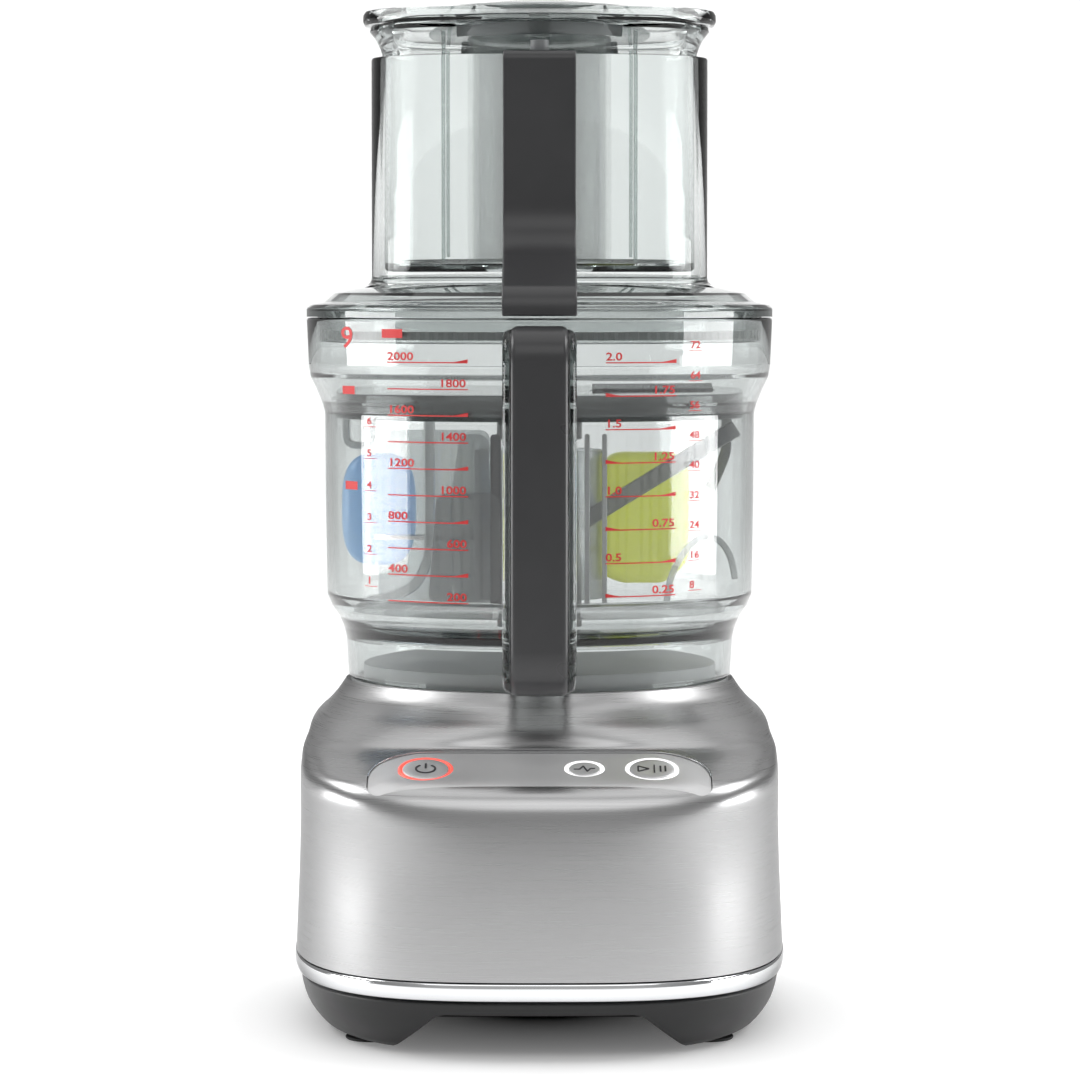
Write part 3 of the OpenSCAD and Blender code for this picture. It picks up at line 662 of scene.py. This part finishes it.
def base_tray():
    foot_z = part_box("base_tray")[0].z / MM
    rows = smooth_rows([(foot_z, 81, 114.5, 80, 3.2), (3, 85.3, 119.3, 83.8, 3.1),
                        (5.5, 87.9, 121.4, 85.9, 3.1), (11.8, 91.9, 126.4, 89.9, 3.1),
                        (18.1, 93.6, 129.9, 92.3, 3.1),
                        (BAND_LOW - 1.3, 93.9, 130.9, 92.9, 3.1), (BAND_LOW - 0.6, 93.3, 130.2, 92.3, 3.1),
                        (BAND_LOW - 0.1, 92.8, 129.6, 91.8, 3.1)], 3)
    tray = piece("base_tray_shell", *loft(section_rings(rows), closed=False), "base", TRAY, "dark_plastic",
                 ["base_tray"], 50)
    arch = rounded([(-57.5, -1), (-37.5, 17), (37.5, 17), (57.5, -1)], 9, 5, closed=False)
    verts = [at_axis(x, reach, z) for reach in (190, 40) for x, z in arch]
    cut(tray, *prism(verts))
    side = rounded([(54, -1), (39, 16), (-31, 16), (-46, -1)], 12, 5, closed=False)
    for out in (-1, 1):
        verts = [at_axis(x * out, reach, z) for x in (62, 162) for reach, z in side]
        cut(tray, *prism(verts))
    sharpen(tray, 40)
    add_bevel(tray, 0.8, 2, 40)


def rubber_feet():
    low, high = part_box("rubber_feet")
    radius, top = 10, high.z / MM
    profile = rounded([(0.01, 0.5), (6, 0.5), (6.4, 0), (9.5, 0), (radius, 0.5), (radius, top),
                       (0.01, top)], 0.3)
    verts, faces, count = [], [], 48
    for x in (low.x / MM + radius, high.x / MM - radius):
        for y in (low.y / MM + radius, high.y / MM - radius):
            faces += hoop(count, len(profile), len(verts))
            for i in range(count):
                a = math.tau * i / count
                verts += [((x + r * math.cos(a)) * MM, (y + r * math.sin(a)) * MM, z * MM)
                          for r, z in profile]
    piece("rubber_pads", verts, faces, "base", RUBBER, "rubber", ["rubber_feet"])


# ---- bowl

BOWL_OUT = [(75.2, 132), (76.2, 133), (77, 147.5), (78, 152), (79.8, 156), (82.5, 160), (84.6, 165),
            (85.2, 200), (85.4, 237), (86.3, 240.5), (88.5, 246), (91, 251), (91.8, 256), (92.6, 274.4)]
BOWL_IN = [(89.6, 274.4), (88.8, 256.5), (88.2, 253), (85.6, 248), (83.3, 242.5), (82.4, 238), (82.2, 200),
           (81.6, 166), (79.8, 162.5), (77, 158), (75, 154.5), (71, 153), (11.5, 153), (11.5, 176), (9, 176),
           (9, 150), (73.6, 150), (73.4, 147.5), (72.6, 134), (72.2, 132)]
HANDLE_W, GRIP_W = 27.5, 22
HANDLE_TOP, HANDLE_LOW, HANDLE_BACK = 271.5, 134, 113


def bowl():
    turned("bowl_shell", BOWL_OUT + BOWL_IN, "bowl", CLEAR_BOWL, "clear_plastic", ["bowl", "bowl_collar"],
           radius=2.5)


def bowl_wall(z):
    """Outer radius of the bowl at a height."""
    for (r0, z0), (r1, z1) in zip(BOWL_OUT, BOWL_OUT[1:]):
        if z0 <= z <= z1:
            return r0 + (r1 - r0) * (z - z0) / (z1 - z0)
    return BOWL_OUT[-1][0]


PRINT_OUT, PRINT_THICK = 0.06, 0.12  # gap between the bowl's wall and the print, and its thickness
DIGIT_HEIGHT, DIGIT_WEIGHT = 0.69, 0.09  # height of a digit for a font size of 1, and its extra weight
SCALE_TOP = 257.6  # height of the uppermost level lines
ML_STEP, LITRE_STEP, CUP_STEP, OUNCE_STEP = 10.16, 12.7, 12.3, 11.5


def digits(text, x, z, height, stretch):
    """Solid number wrapped on the front of the bowl; x and z are its lower left corner in millimetres."""
    curve = bpy.data.curves.new("digits", "FONT")
    curve.body, curve.size, curve.resolution_u = text, height / DIGIT_HEIGHT, 3
    curve.offset = DIGIT_WEIGHT
    flat = bpy.data.objects.new("digits", curve)
    mesh = bpy.data.meshes.new_from_object(flat)
    made = bmesh.new()
    made.from_mesh(mesh)
    bmesh.ops.remove_doubles(made, verts=made.verts, dist=0.001)
    bmesh.ops.triangulate(made, faces=made.faces)
    bmesh.ops.subdivide_edges(made, edges=[e for e in made.edges if e.calc_length() > 2], cuts=1)
    bmesh.ops.triangulate(made, faces=made.faces)
    points = [(x + v.co.x * stretch, z + v.co.y) for v in made.verts]
    faces = [tuple(v.index for v in face.verts) for face in made.faces]
    rims = [e.link_loops[0] for e in made.edges if len(e.link_faces) == 1]
    sides = [(loop.vert.index, loop.link_loop_next.vert.index) for loop in rims]
    made.free()
    count = len(points)
    verts = [on_bowl(px, pz, out) for out in (PRINT_OUT, PRINT_OUT + PRINT_THICK) for px, pz in points]
    all_faces = [tuple(reversed(f)) for f in faces] + [tuple(i + count for i in f) for f in faces]
    all_faces += [(a, b, b + count, a + count) for a, b in sides]
    bpy.data.objects.remove(flat)
    bpy.data.curves.remove(curve)
    bpy.data.meshes.remove(mesh)
    return verts, all_faces


def milky_window():
    """Thin pale sheet behind the scale that veils the middle of the bowl's front."""
    levels = [155 + 1.58 * k for k in range(51)]
    across = [-68 + 4 * k for k in range(35)]
    verts = [on_bowl(x, z, out) for out in (0.01, 0.04) for z in levels for x in across]
    row, layer = len(across), len(across) * len(levels)
    faces = []
    for j in range(len(levels) - 1):
        for i in range(row - 1):
            a = j * row + i
            faces.append((a, a + row, a + row + 1, a + 1))
            faces.append(tuple(v + layer for v in (a, a + 1, a + row + 1, a + row)))
    loop = list(range(row)) + [j * row + row - 1 for j in range(1, len(levels))]
    loop += [layer - 1 - i for i in range(1, row)] + [j * row for j in range(len(levels) - 2, 0, -1)]
    faces += [(a, b, b + layer, a + layer) for a, b in zip(loop, loop[1:] + loop[:1])]
    piece("milky_window", verts, faces, "bowl", MILKY, "clear_plastic")


def on_bowl(x, z, out):
    """Point on the front of the bowl's wall at a distance out from it."""
    radius = bowl_wall(z) + out
    return at_axis(x, math.sqrt(radius * radius - x * x), z)


def mark(points):
    """Thin wrapped solid from a closed outline of (x, z): out along its top, and back along its underside."""
    count = len(points)
    verts = [on_bowl(x, z, out) for out in (PRINT_OUT, PRINT_OUT + PRINT_THICK) for x, z in points]
    half = count // 2
    faces = []
    for k in range(half - 1):
        faces.append((k, k + 1, count - 2 - k, count - 1 - k))
        faces.append(tuple(count + i for i in reversed((k, k + 1, count - 2 - k, count - 1 - k))))
    faces += [(i, (i + 1) % count, count + (i + 1) % count, count + i) for i in range(count)]
    return verts, faces


def level_line(x0, x1, z, width, wedge=0):
    """Level line of the scale; a wedge of the given height stands on its last 5 mm."""
    steps = max(4, round(abs(x1 - x0) / 2))
    xs = [x0 + (x1 - x0) * k / steps for k in range(steps + 1)]
    top = [(x, z + width / 2 + wedge * max(0, 1 - abs(x1 - x) / 5)) for x in xs]
    low = [(x, z - width / 2) for x in reversed(xs)]
    return mark(top + low)


def scale_print():
    """Volume scale: millilitres at the left, litres at the right, cups and ounces outside them.

    Plain boxes stand where the real bowl has words.
    """
    bold, fine = [], []
    for k in range(10):
        z = SCALE_TOP - ML_STEP * k
        bold.append(level_line(-58, -27, z, 0.45, 1.1) if k % 2 == 0 else level_line(-27, -58, z, 0.45, 0))
        label = str(2000 - 200 * k)
        bold.append(digits(label, -58 if k % 2 == 0 else -27 - 2.75 * len(label), z + 0.9, 2.9, 1.22))
    for k, label in enumerate(("2.0", "1.75", "1.5", "1.25", "1.0", "0.75", "0.5", "0.25")):
        z = SCALE_TOP - LITRE_STEP * k
        bold.append(level_line(25, 52, z, 0.45, 1.1) if k % 2 == 0 else level_line(52, 25, z, 0.45, 1.1))
        bold.append(digits(label, 25 if k % 2 == 0 else 52 - 2.6 * (len(label) - 0.5), z + 0.9, 2.9, 1.22))
    cups = (range(6, 0, -1), 233.5, CUP_STEP, -66.5, -67.5)
    ounces = (range(72, 0, -8), 262.9, OUNCE_STEP, 57.5, 57)
    for labels, top, step, x, line_x in (cups, ounces):
        for k, label in enumerate(labels):
            z = top - step * k
            fine.append(digits(str(label), x, z, 2.7, 1.0))
            fine.append(level_line(line_x, line_x + 5, z - 0.9, 0.25))
    bold.append(digits("9", -76.6, 263, 8, 0.9))
    for x, z, w, h in ((-56, 268.5, 8, 3.4), (-73.6, 246.6, 5, 3.2), (-72.8, 209.6, 5, 3.2)):
        bold.append(mark([(x - w / 2 + w * k / 4, z + h / 2) for k in range(5)]
                         + [(x + w / 2 - w * k / 4, z - h / 2) for k in range(5)]))
    for name, shapes in (("scale_bold", bold), ("scale_fine", fine)):
        piece(name, *merged(shapes), "bowl", RED_PRINT, "red_light")


def handle_outer(inset, root_top, root_low):
    return ([(root_top, HANDLE_TOP - inset)]
            + arc((GRIP_FRONT - 14, HANDLE_TOP - 14), 14 - inset, 90, 0)
            + arc((GRIP_FRONT - 18, HANDLE_LOW + 18), 18 - inset, 0, -90)
            + [(root_low, HANDLE_LOW + inset)])


def bowl_handle():
    r = 12
    finger = ([(77.3, HANDLE_LOW + 13)] + arc((HANDLE_BACK - r, HANDLE_LOW + 13 + r), r, -90, 0)
              + arc((HANDLE_BACK - r, 248 - r), r, 0, 90) + [(89.3, 248)])
    slab("handle_core", handle_outer(1.2, 92.2, 76.4) + finger, HANDLE_W, "bowl", CLEAR, "clear_plastic",
         ["bowl_handle"], bevel=3.2, segments=5)
    grip = handle_outer(0, 97, 97) + handle_outer(9, 97, 97)[::-1]
    slab("handle_grip", grip, GRIP_W, "bowl", DARK, "dark_plastic", ["bowl_grip"], bevel=3.0, segments=5)


# ---- lid and pushers

CHUTE_W, CHUTE_D, CHUTE_WALL = 66.6, 40, 2.8
LID_BASE, LID_TOP, LID_UNDER = RIM_Z + 0.3, 287, 284.2
LID_OUT = [(92.6, LID_BASE), (92.6, 278), (91, 279.5), (85.5, 280.5), (81.5, 284), (67.5, LID_TOP)]
LID_IN = [(67, LID_UNDER), (80, 281.4), (83.6, 278.2), (86.2, 277.2), (86.2, LID_Z), (88.4, LID_Z),
          (88.4, LID_BASE)]


def lid():
    outer = rounded(LID_OUT, 1.2, 3, closed=False)
    inner = rounded(LID_IN, 0.8, 3, closed=False)
    hole = oval(CHUTE_W + 0.1, CHUTE_D + 0.1)
    rings = outer + [(hole, LID_TOP), (hole, LID_UNDER)] + inner
    piece("lid_shell", *loft(rings), "lid", CLEAR_LID, "clear_plastic", ["lid"])


def feed_chute():
    def outer(more):
        return oval(CHUTE_W + more, CHUTE_D + more)

    def inner(more):
        return oval(CHUTE_W - CHUTE_WALL + more, CHUTE_D - CHUTE_WALL + more)

    foot = 3.2
    fillet = [(outer(foot * (1 - math.sin(a))), LID_TOP + 0.1 + foot * (1 - math.cos(a)))
              for a in (math.radians(d) for d in range(10, 91, 16))]
    rings = [(outer(0), LID_UNDER + 0.1), (outer(0), LID_TOP + 0.05), *fillet, (outer(0), CHUTE_TOP - 1),
             (outer(-0.3), CHUTE_TOP - 0.3), (outer(-1), CHUTE_TOP), (inner(1), CHUTE_TOP),
             (inner(0.3), CHUTE_TOP - 0.3), (inner(0), CHUTE_TOP - 1), (inner(0), LID_UNDER + 0.1)]
    piece("chute_wall", *loft(rings), "lid", CLEAR, "clear_plastic", ["feed_chute"])


PIN_REACH = 52  # interlock pin in front of the bowl axis
PIN_BORE_R = 3.58  # its bore in the lid handle
PIN_BORE_LOW = 318  # bottom of that bore


def lid_handle():
    top, toe, toe_top, width = 62, 112, 288, 28
    front = (arc((top - 4, CHUTE_TOP - 4), 4, 90, 0, 5) + arc((top + 24, 320), 24, 180, 245, 14)
             + arc((toe - 12, toe_top - 12), 12, 65, 0, 8))
    under = [(toe, LID_BASE + 0.5), (93.2, LID_BASE + 0.5), (93.2, 279.4), (86, 281.2), (82, 284.6),
             (68, 287.6), (40.4, 287.6)]
    grip = slab("lid_grip", [(40.4, CHUTE_TOP)] + front + under, width, "lid", DARK, "dark_plastic",
                ["lid_handle"], bevel=3.0, segments=5)
    bore = [at_axis(x, PIN_REACH + u, z)
            for z in (PIN_BORE_LOW, CHUTE_TOP + 2) for x, u in circle(0, PIN_BORE_R)]
    cut(grip, *prism(bore))
    grip.modifiers.clear()  # the cut keeps the bevelled mesh
    sharpen(grip, 35)
    grip.modifiers.new("flats", "WEIGHTED_NORMAL").keep_sharp = True


def flange(inset):
    """Plan of the pusher's flange: an oval with a round bulge in the middle, blended."""
    def radius(angle):
        a, b, soft = superellipse(angle, 70.2, 43, 43, 2.6), 51.0, 14
        return (a ** soft + b ** soft) ** (1 / soft) - inset - (0.35 if a > 66 else 0)
    return radius


def large_pusher():
    w, d, wall, low, bore = 61.6, 35.2, 2.4, 292, 26.5
    inner = oval(w - wall, d - wall)
    outer = [(oval(w - 1, d - 1), low), (oval(w, d), low + 1), (oval(w, d), 372),
             (oval(w + 0.3, d + 0.3), 376), (oval(w + 1.3, d + 1.2), 380), (oval(w + 3, d + 2.6), 383.5),
             (oval(w + 5.6, d + 4), 386.8),
             (flange(3.2), 388.2), (flange(0.9), 389.1), (flange(0.1), 390.6), (flange(0.1), 393),
             (flange(0.9), 394.4), (flange(2.2), 394.8), (flange(3.4), 394.2), (flange(4), 392.8),
             (flange(4.6), 391.6), (flange(6), 391.2), (bore + 2, 391.2), (bore + 2, 388.6), (inner, 388.6),
             (inner, 295.2), (oval(w - wall - 1, d - wall - 1), 294.4), (bore + 2, 294.4), (bore + 2, low)]
    piece("large_pusher_body", *loft(outer), "large_pusher", CLEAR, "clear_plastic",
          ["large_pusher", "pusher_flange"])
    sleeve = [(bore, low), (bore + 1.9, low), (bore + 1.9, 391.2), (bore, 391.2)]
    turned("pusher_sleeve", sleeve, "large_pusher", INNER, "clear_plastic", radius=0.4)
    for x in (-37, 37):
        for reach in (27.6, -27.6):
            rib = [(reach - 1.4, 296), (reach + 1.4, 296), (reach + 1.4, 387), (reach - 1.4, 387)]
            name = "pusher_rib_" + ("left" if x < 0 else "right") + ("_front" if reach > 0 else "_rear")
            slab(name, rib, 1.5, "large_pusher", RIB, "clear_plastic", bevel=0.4, segments=2, x=x)
    # the skirt arcs are dark: painted shade under the flange
    for name, side in (("front", -1), ("rear", 1)):
        span = [math.radians(side * 90 + d) for d in range(-44, 45, 4)]
        section = [(43.5, 384), (44, 383.4), (45.6, 383.4), (46, 384), (46, 389.4), (43.5, 389.4)]
        piece("pusher_skirt_" + name, *swept_arc(span, section), "large_pusher", SHADED_SKIRT, "clear_plastic")
    tab = [(44.5, 391), (51.5, 391), (52, 390.4), (52, 382), (51.3, 381), (45.7, 381), (45, 382)]
    slab("pusher_tab", tab, 8, "large_pusher", CLEAR, "clear_plastic", bevel=0.5, segments=2)


def swept_arc(span, section):
    """A section of (radius, z) swept through the angles, closed at both ends."""
    verts = [at_axis(r * math.cos(a), -r * math.sin(a), z) for a in span for r, z in section]
    size, count = len(section), len(span)
    ends = [tuple(reversed(range(size))), tuple((count - 1) * size + j for j in range(size))]
    return verts, hoop(count, size, closed=False) + ends


def small_pusher():
    low, high, radius, wall = 293, 393.1, 26, 2.2
    profile = [(0.01, low), (radius, low), (radius, high), (radius - wall, high),
               (radius - wall, low + wall), (0.01, low + wall)]
    turned("small_pusher_tube", profile, "small_pusher", INNER, "clear_plastic", ["small_pusher"], radius=0.8)


def pusher_cap():
    low, radius = 392.1, 44.5
    profile = [(0.01, low), (radius - 1, low), (radius - 0.2, low + 0.5), (radius, low + 1.4),
               (radius - 0.3, low + 2.4), (radius - 1.2, low + 3.2), (radius - 4, low + 4),
               (radius - 14, low + 4.9), (radius - 30, TOP_Z - 0.1), (0.01, TOP_Z)]
    turned("cap_dome", profile, "small_pusher", CAP, "cap_plastic", ["pusher_cap"], radius=0.2)


# ---- inside the bowl

def front_slab(name, outline, reach, depth, material, slot, replaces=(), bevel=0.8, segments=3):
    """Upright slab on the blades' body, facing the front, from a closed outline of (x, z)."""
    verts = [at_axis(x, reach + side * depth / 2, z) for side in (1, -1) for x, z in outline]
    made = piece(name, *prism(verts), "blades", material, slot, replaces, 60)
    add_bevel(made, bevel, segments)


def pebble(name, centre, half, power, body, material, slot, replaces):
    """Closed rounded form; half is its half width, half depth and half height."""
    count, rows = 48, 24
    verts = []

    def curve(value, exponent):
        return math.copysign(abs(value) ** exponent, value)

    for j in range(1, rows):
        v = math.pi * (j / rows - 0.5)
        for i in range(count):
            u = math.tau * i / count
            level = curve(math.cos(v), 2 / power)
            verts.append(at_axis(centre[0] + half[0] * level * curve(math.cos(u), 2 / power),
                                 centre[1] + half[1] * level * curve(math.sin(u), 2 / power),
                                 centre[2] + half[2] * curve(math.sin(v), 2 / power)))
    faces = [(j * count + i, j * count + (i + 1) % count,
              (j + 1) * count + (i + 1) % count, (j + 1) * count + i)
             for j in range(rows - 2) for i in range(count)]
    faces += [tuple(reversed(range(count))), tuple((rows - 2) * count + i for i in range(count))]
    piece(name, verts, faces, body, material, slot, replaces, 60)


CARRIER_PLATES = [  # name, left, right, low, high, reach, finish
    ("lower_plate", -47, -15.5, 162.5, 206, 30, SLEEVE),
    ("upper_plate", -38, -19.5, 204, 229, 28, PALE_SLEEVE),
    ("rear_plate", -70, -20, 159, 229, -30, PALE_SLEEVE),
    # the left rib paints shade and the two right ribs paint highlights
    ("left_rib", -19.2, -15, 160, 229, 28.5, PAINTED_SHADE_SLEEVE),
    ("right_rib", 17.5, 19.6, 160, 229, 28.5, PAINTED_HIGHLIGHT_EDGE),
    ("right_rib_outer", 24.4, 26.4, 160, 229, 26, PAINTED_HIGHLIGHT_EDGE)]


def blades_and_carrier():
    hub = [(12.2, 154.6), (16.9, 154.6), (16.9, 195), (22.8, 195.2), (22.8, 198.8), (14, 199), (14, 229.8),
           (7.7, 229.8), (7.7, 176.4), (12.2, 176.4)]
    turned("hub_column", hub, "blades", HUB, "smoky_plastic", ["spindle"], 0.5)
    pebble("blue_sheath", (-64, 0, 198.3), (14.9, 11.9, 22.4), 3.0, "blades", BLUE, "blue_plastic",
           ["blue_guard"])
    green = rounded([(24.7, 221), (59.3, 221), (59.3, 178), (50, 169.1), (33, 169.1), (24.7, 172)], 9, 6)
    front_slab("green_sheath", green, 0, 21.8, GREEN, "green_plastic", ["green_guard"], 4, 4)
    z_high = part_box("disc_rim")[1].z / MM
    z_low = z_high - 10.5
    rim = [(14.2, 226.2), (17, 226.2), (17, z_high - 2), (77.5, z_high - 2), (77.5, z_low), (81, z_low),
           (81, z_high), (6.2, z_high), (6.2, z_high - 2), (14.2, z_high - 2)]
    disc = turned("disc_plate", rim, "blades", SMOKY, "smoky_plastic", ["disc_rim"], 0.5)
    sleeve = [(24.6, 163), (26, 163), (26, 222), (24.6, 222)]
    turned("column_sleeve", sleeve, "blades", PALE_SLEEVE, "smoky_plastic", radius=0.4)
    for name, x0, x1, low, high, reach, material in CARRIER_PLATES:
        slant = 7 if x1 - x0 > 12 else 0
        plate = rounded([(x0 + slant / 2, low), (x1, low), (x1, high), (x0 + slant, high)], 5, 5)
        front_slab(name, plate, reach, 1.8, material, "smoky_plastic", bevel=0.5)
    slot = [(20, -4), (70, -4), (70, 4), (20, 4)]
    verts = [at_axis(x, -y, z) for z in (z_high - 5, z_high + 5) for x, y in slot]
    cut(disc, *prism(verts))
    sharpen(disc, 35)
    post = smooth_line([(-42.8, z_high - 2.2), (-42.8, 200), (-42.9, 186), (-44.5, 177), (-51, 168),
                        (-67, 163)], 6)
    front_slab("carrier_post_bar", stroke(post, 4.2), 27, 4.8, FROSTED, "clear_plastic",
               ["carrier_post"], 0.9)
    loop = smooth_line([(50, 160), (52, 172), (58, 183), (65, 188), (71, 186), (75, 180), (77, 171)], 6)
    front_slab("carrier_loop_bar", stroke(loop, 2.6), 12.5, 2.8, FROSTED, "clear_plastic",
               ["carrier_loop"], 0.7)
    arm = stroke([(15, 192.8), (77, 231)], 6.6)
    front_slab("carrier_arm_bar", arm, 15, 4.8, HUB, "smoky_plastic", ["carrier_arm"], 0.9)
    lug = smooth_line([(-66.5, z_high - 2.2), (-66.5, 230), (-66.7, 226.5), (-68.5, 224.2), (-71.5, 223.7),
                       (-74.8, 224.2), (-76.8, 226.5), (-77, z_low - 0.4)], 4)
    front_slab("left_clip", stroke(lug, 2.8), 0, 7.8, FROSTED, "clear_plastic", ["carrier_lugs"], 0.7)
    right = smooth_line([(76, z_low - 0.3), (76, 226), (75.2, 219), (69, 205.5)], 5)
    front_slab("right_clip", stroke(right, 4.6), -16, 3.8, HUB, "smoky_plastic", ["carrier_lugs"], 0.9)


def smooth_line(points, per_span):
    """Smooth curve through points (Catmull-Rom), in millimetres."""
    made = []
    for i in range(len(points) - 1):
        p0, p1, p2, p3 = (Vector(points[min(max(k, 0), len(points) - 1)]) for k in (i - 1, i, i + 1, i + 2))
        for step in range(per_span):
            t = step / per_span
            made.append(tuple(0.5 * (2 * p1 + (p2 - p0) * t + (2 * p0 - 5 * p1 + 4 * p2 - p3) * t * t
                                     + (3 * p1 - p0 - 3 * p2 + p3) * t ** 3)))
    return made + [points[-1]]


CARRIED = (  # finish and names of the CAD parts that are shown as they are
    (SEAT, "turret"), (TRAY, "band_frame"), (BOARD, "button_board power_board"), (BLUE_CAN, "capacitor"),
    (MOTOR_STEEL, "motor_mount motor_case motor_rotor"), (COPPER, "stator"), (RUBBER, "cord_gland"),
    (BRIGHT_STEEL, "lower_bearing upper_bearing motor_shaft base_screws motor_screws"),
    (BRIGHT_STEEL, "left_blade right_blade disc_blade interlock_spring"), (WHITE_PLASTIC, "cooling_fan"),
    (GREY, "drive_coupling interlock_pin"), (SILICONE, "lid_seal"))


def carried_over():
    for material, nodes in CARRIED:
        for node in nodes.split():
            slots = frame["nodes"][node].data.materials
            slots.clear()
            slots.append(material)


# ---- build

housing()
control_panel()
buttons()
chrome_band()
base_tray()
rubber_feet()
bowl()
bowl_handle()
lid()
feed_chute()
lid_handle()
large_pusher()
small_pusher()
pusher_cap()
blades_and_carrier()
milky_window()
scale_print()
carried_over()


# ---- stage

def soft_box(name, place, aim, width, height, power):
    light = bpy.data.lights.new(name, "AREA")
    light.shape = "RECTANGLE"
    light.size, light.size_y, light.energy = width, height, power
    lamp = show(name, light)
    lamp.location = place
    lamp.rotation_euler = (Vector(aim) - Vector(place)).to_track_quat("-Z", "Y").to_euler()


FADE_FAR, FADE_NEAR = -0.7, -0.15  # along Y, where a sheet's glow fades
SHADOW_FADE_NEAR, SHADOW_FADE_FAR = 0.02, 0.2  # from the middle, where it fades under the object: a painted soft shadow round its foot


def sheet_of(name, profile, half_w, grey, glow, front_glow):
    """Stage sheet along X from an outline of (y, z).

    Its soft glow fades to front_glow in front of the object, and to nothing under it, which paints a soft
    shadow round the object's foot.
    """
    verts = [(x, y, z) for x in (-half_w, half_w) for y, z in profile]
    count = len(profile)
    faces = [(i, i + 1, count + i + 1, count + i) for i in range(count - 1)]
    obj = show(name, mesh_of(name, verts, faces))
    obj.data.shade_smooth()
    material, tree, node = shader(name + "_paint", [grey] * 3, Roughness=0.7, Emission_Color=(1, 1, 1, 1))
    coords = add_node(tree, "TexCoord").outputs["Object"]
    split = add_node(tree, "SeparateXYZ", [(coords, "Vector")])
    fade = add_node(tree, "MapRange", [(split.outputs["Y"], "Value")],
                    From_Min=FADE_FAR, From_Max=FADE_NEAR, To_Min=front_glow, To_Max=glow)
    # painted shadow: the glow fades out near the object
    away = add_node(tree, "VectorMath", [(coords, 0)])
    away.operation = "LENGTH"
    under = add_node(tree, "MapRange", [(away.outputs["Value"], "Value")],
                     From_Min=SHADOW_FADE_NEAR, From_Max=SHADOW_FADE_FAR)
    both = add_node(tree, "Math", [(fade.outputs["Result"], 0), (under.outputs["Result"], 1)])
    both.operation = "MULTIPLY"
    tree.links.new(both.outputs["Value"], node.inputs["Emission Strength"])
    obj.data.materials.append(material)


def backdrop():
    """Pale floor, and a bright wall behind the object."""
    sheet_of("floor", [(-8, 0), (8, 0)], 8, 0.88, 0.4, 0.02)
    sheet_of("wall", [(2.2, 0), (2.2, 1.2)], 0.6, 0.85, 0.2, 0.2)


def world(level, side_level):
    """Even light from all round that falls off towards the left and the right."""
    made = bpy.data.worlds.new("studio")
    made.use_nodes = True
    tree, background = made.node_tree, made.node_tree.nodes["Background"]
    coords = add_node(tree, "TexCoord")
    split = add_node(tree, "SeparateXYZ", [(coords.outputs["Generated"], "Vector")])
    side = add_node(tree, "Math", [(split.outputs["X"], 0)])
    side.operation = "ABSOLUTE"
    fall = add_node(tree, "MapRange", [(side.outputs["Value"], "Value")],
                    From_Min=0.35, From_Max=0.95, To_Min=level, To_Max=side_level)
    tree.links.new(fall.outputs["Result"], background.inputs["Strength"])
    background.inputs["Color"].default_value = (1, 1, 1, 1)
    bpy.context.scene.world = made


backdrop()
world(0.42, 0.2)
for side in (-1, 1):
    name = "left" if side < 0 else "right"
    soft_box(name + "_low_box", (side * 1.6, 0.02, 0.19), (0, 0.02, 0.16), 1.0, 0.36, 9)
    soft_box(name + "_high_box", (side * 1.3, 0.25, 1.3), (0, 0, 0.1), 1.0, 0.6, 10)
soft_box("top_box", (0, 0.2, 2.4), (0, 0.1, 0), 2.2, 2.2, 12)
soft_box("back_box", (0, 1.9, 1.65), (0, 0, 0.1), 2.4, 0.9, 4)
soft_box("front_box", (0, -1.6, 1.9), (0, 0, 0.15), 2.6, 1.0, 9)
bpy.context.scene.view_settings.view_transform = "Standard"

EYE_Z, EYE_REACH, AIM_Z = 0.2796, 1.640, 0.1858  # fitted to the outlines in the photo
EYE_X, LENS, SENSOR = 0.0002, 137.4, 36
camera = bpy.data.cameras.new("camera")
camera.lens = LENS
camera.sensor_width = SENSOR
view = show("camera", camera)
view.location = (EYE_X, AXIS_Y - EYE_REACH, EYE_Z)
view.rotation_euler = (math.pi / 2 - math.atan2(EYE_Z - AIM_Z, EYE_REACH), 0, 0)
bpy.context.scene.camera = view
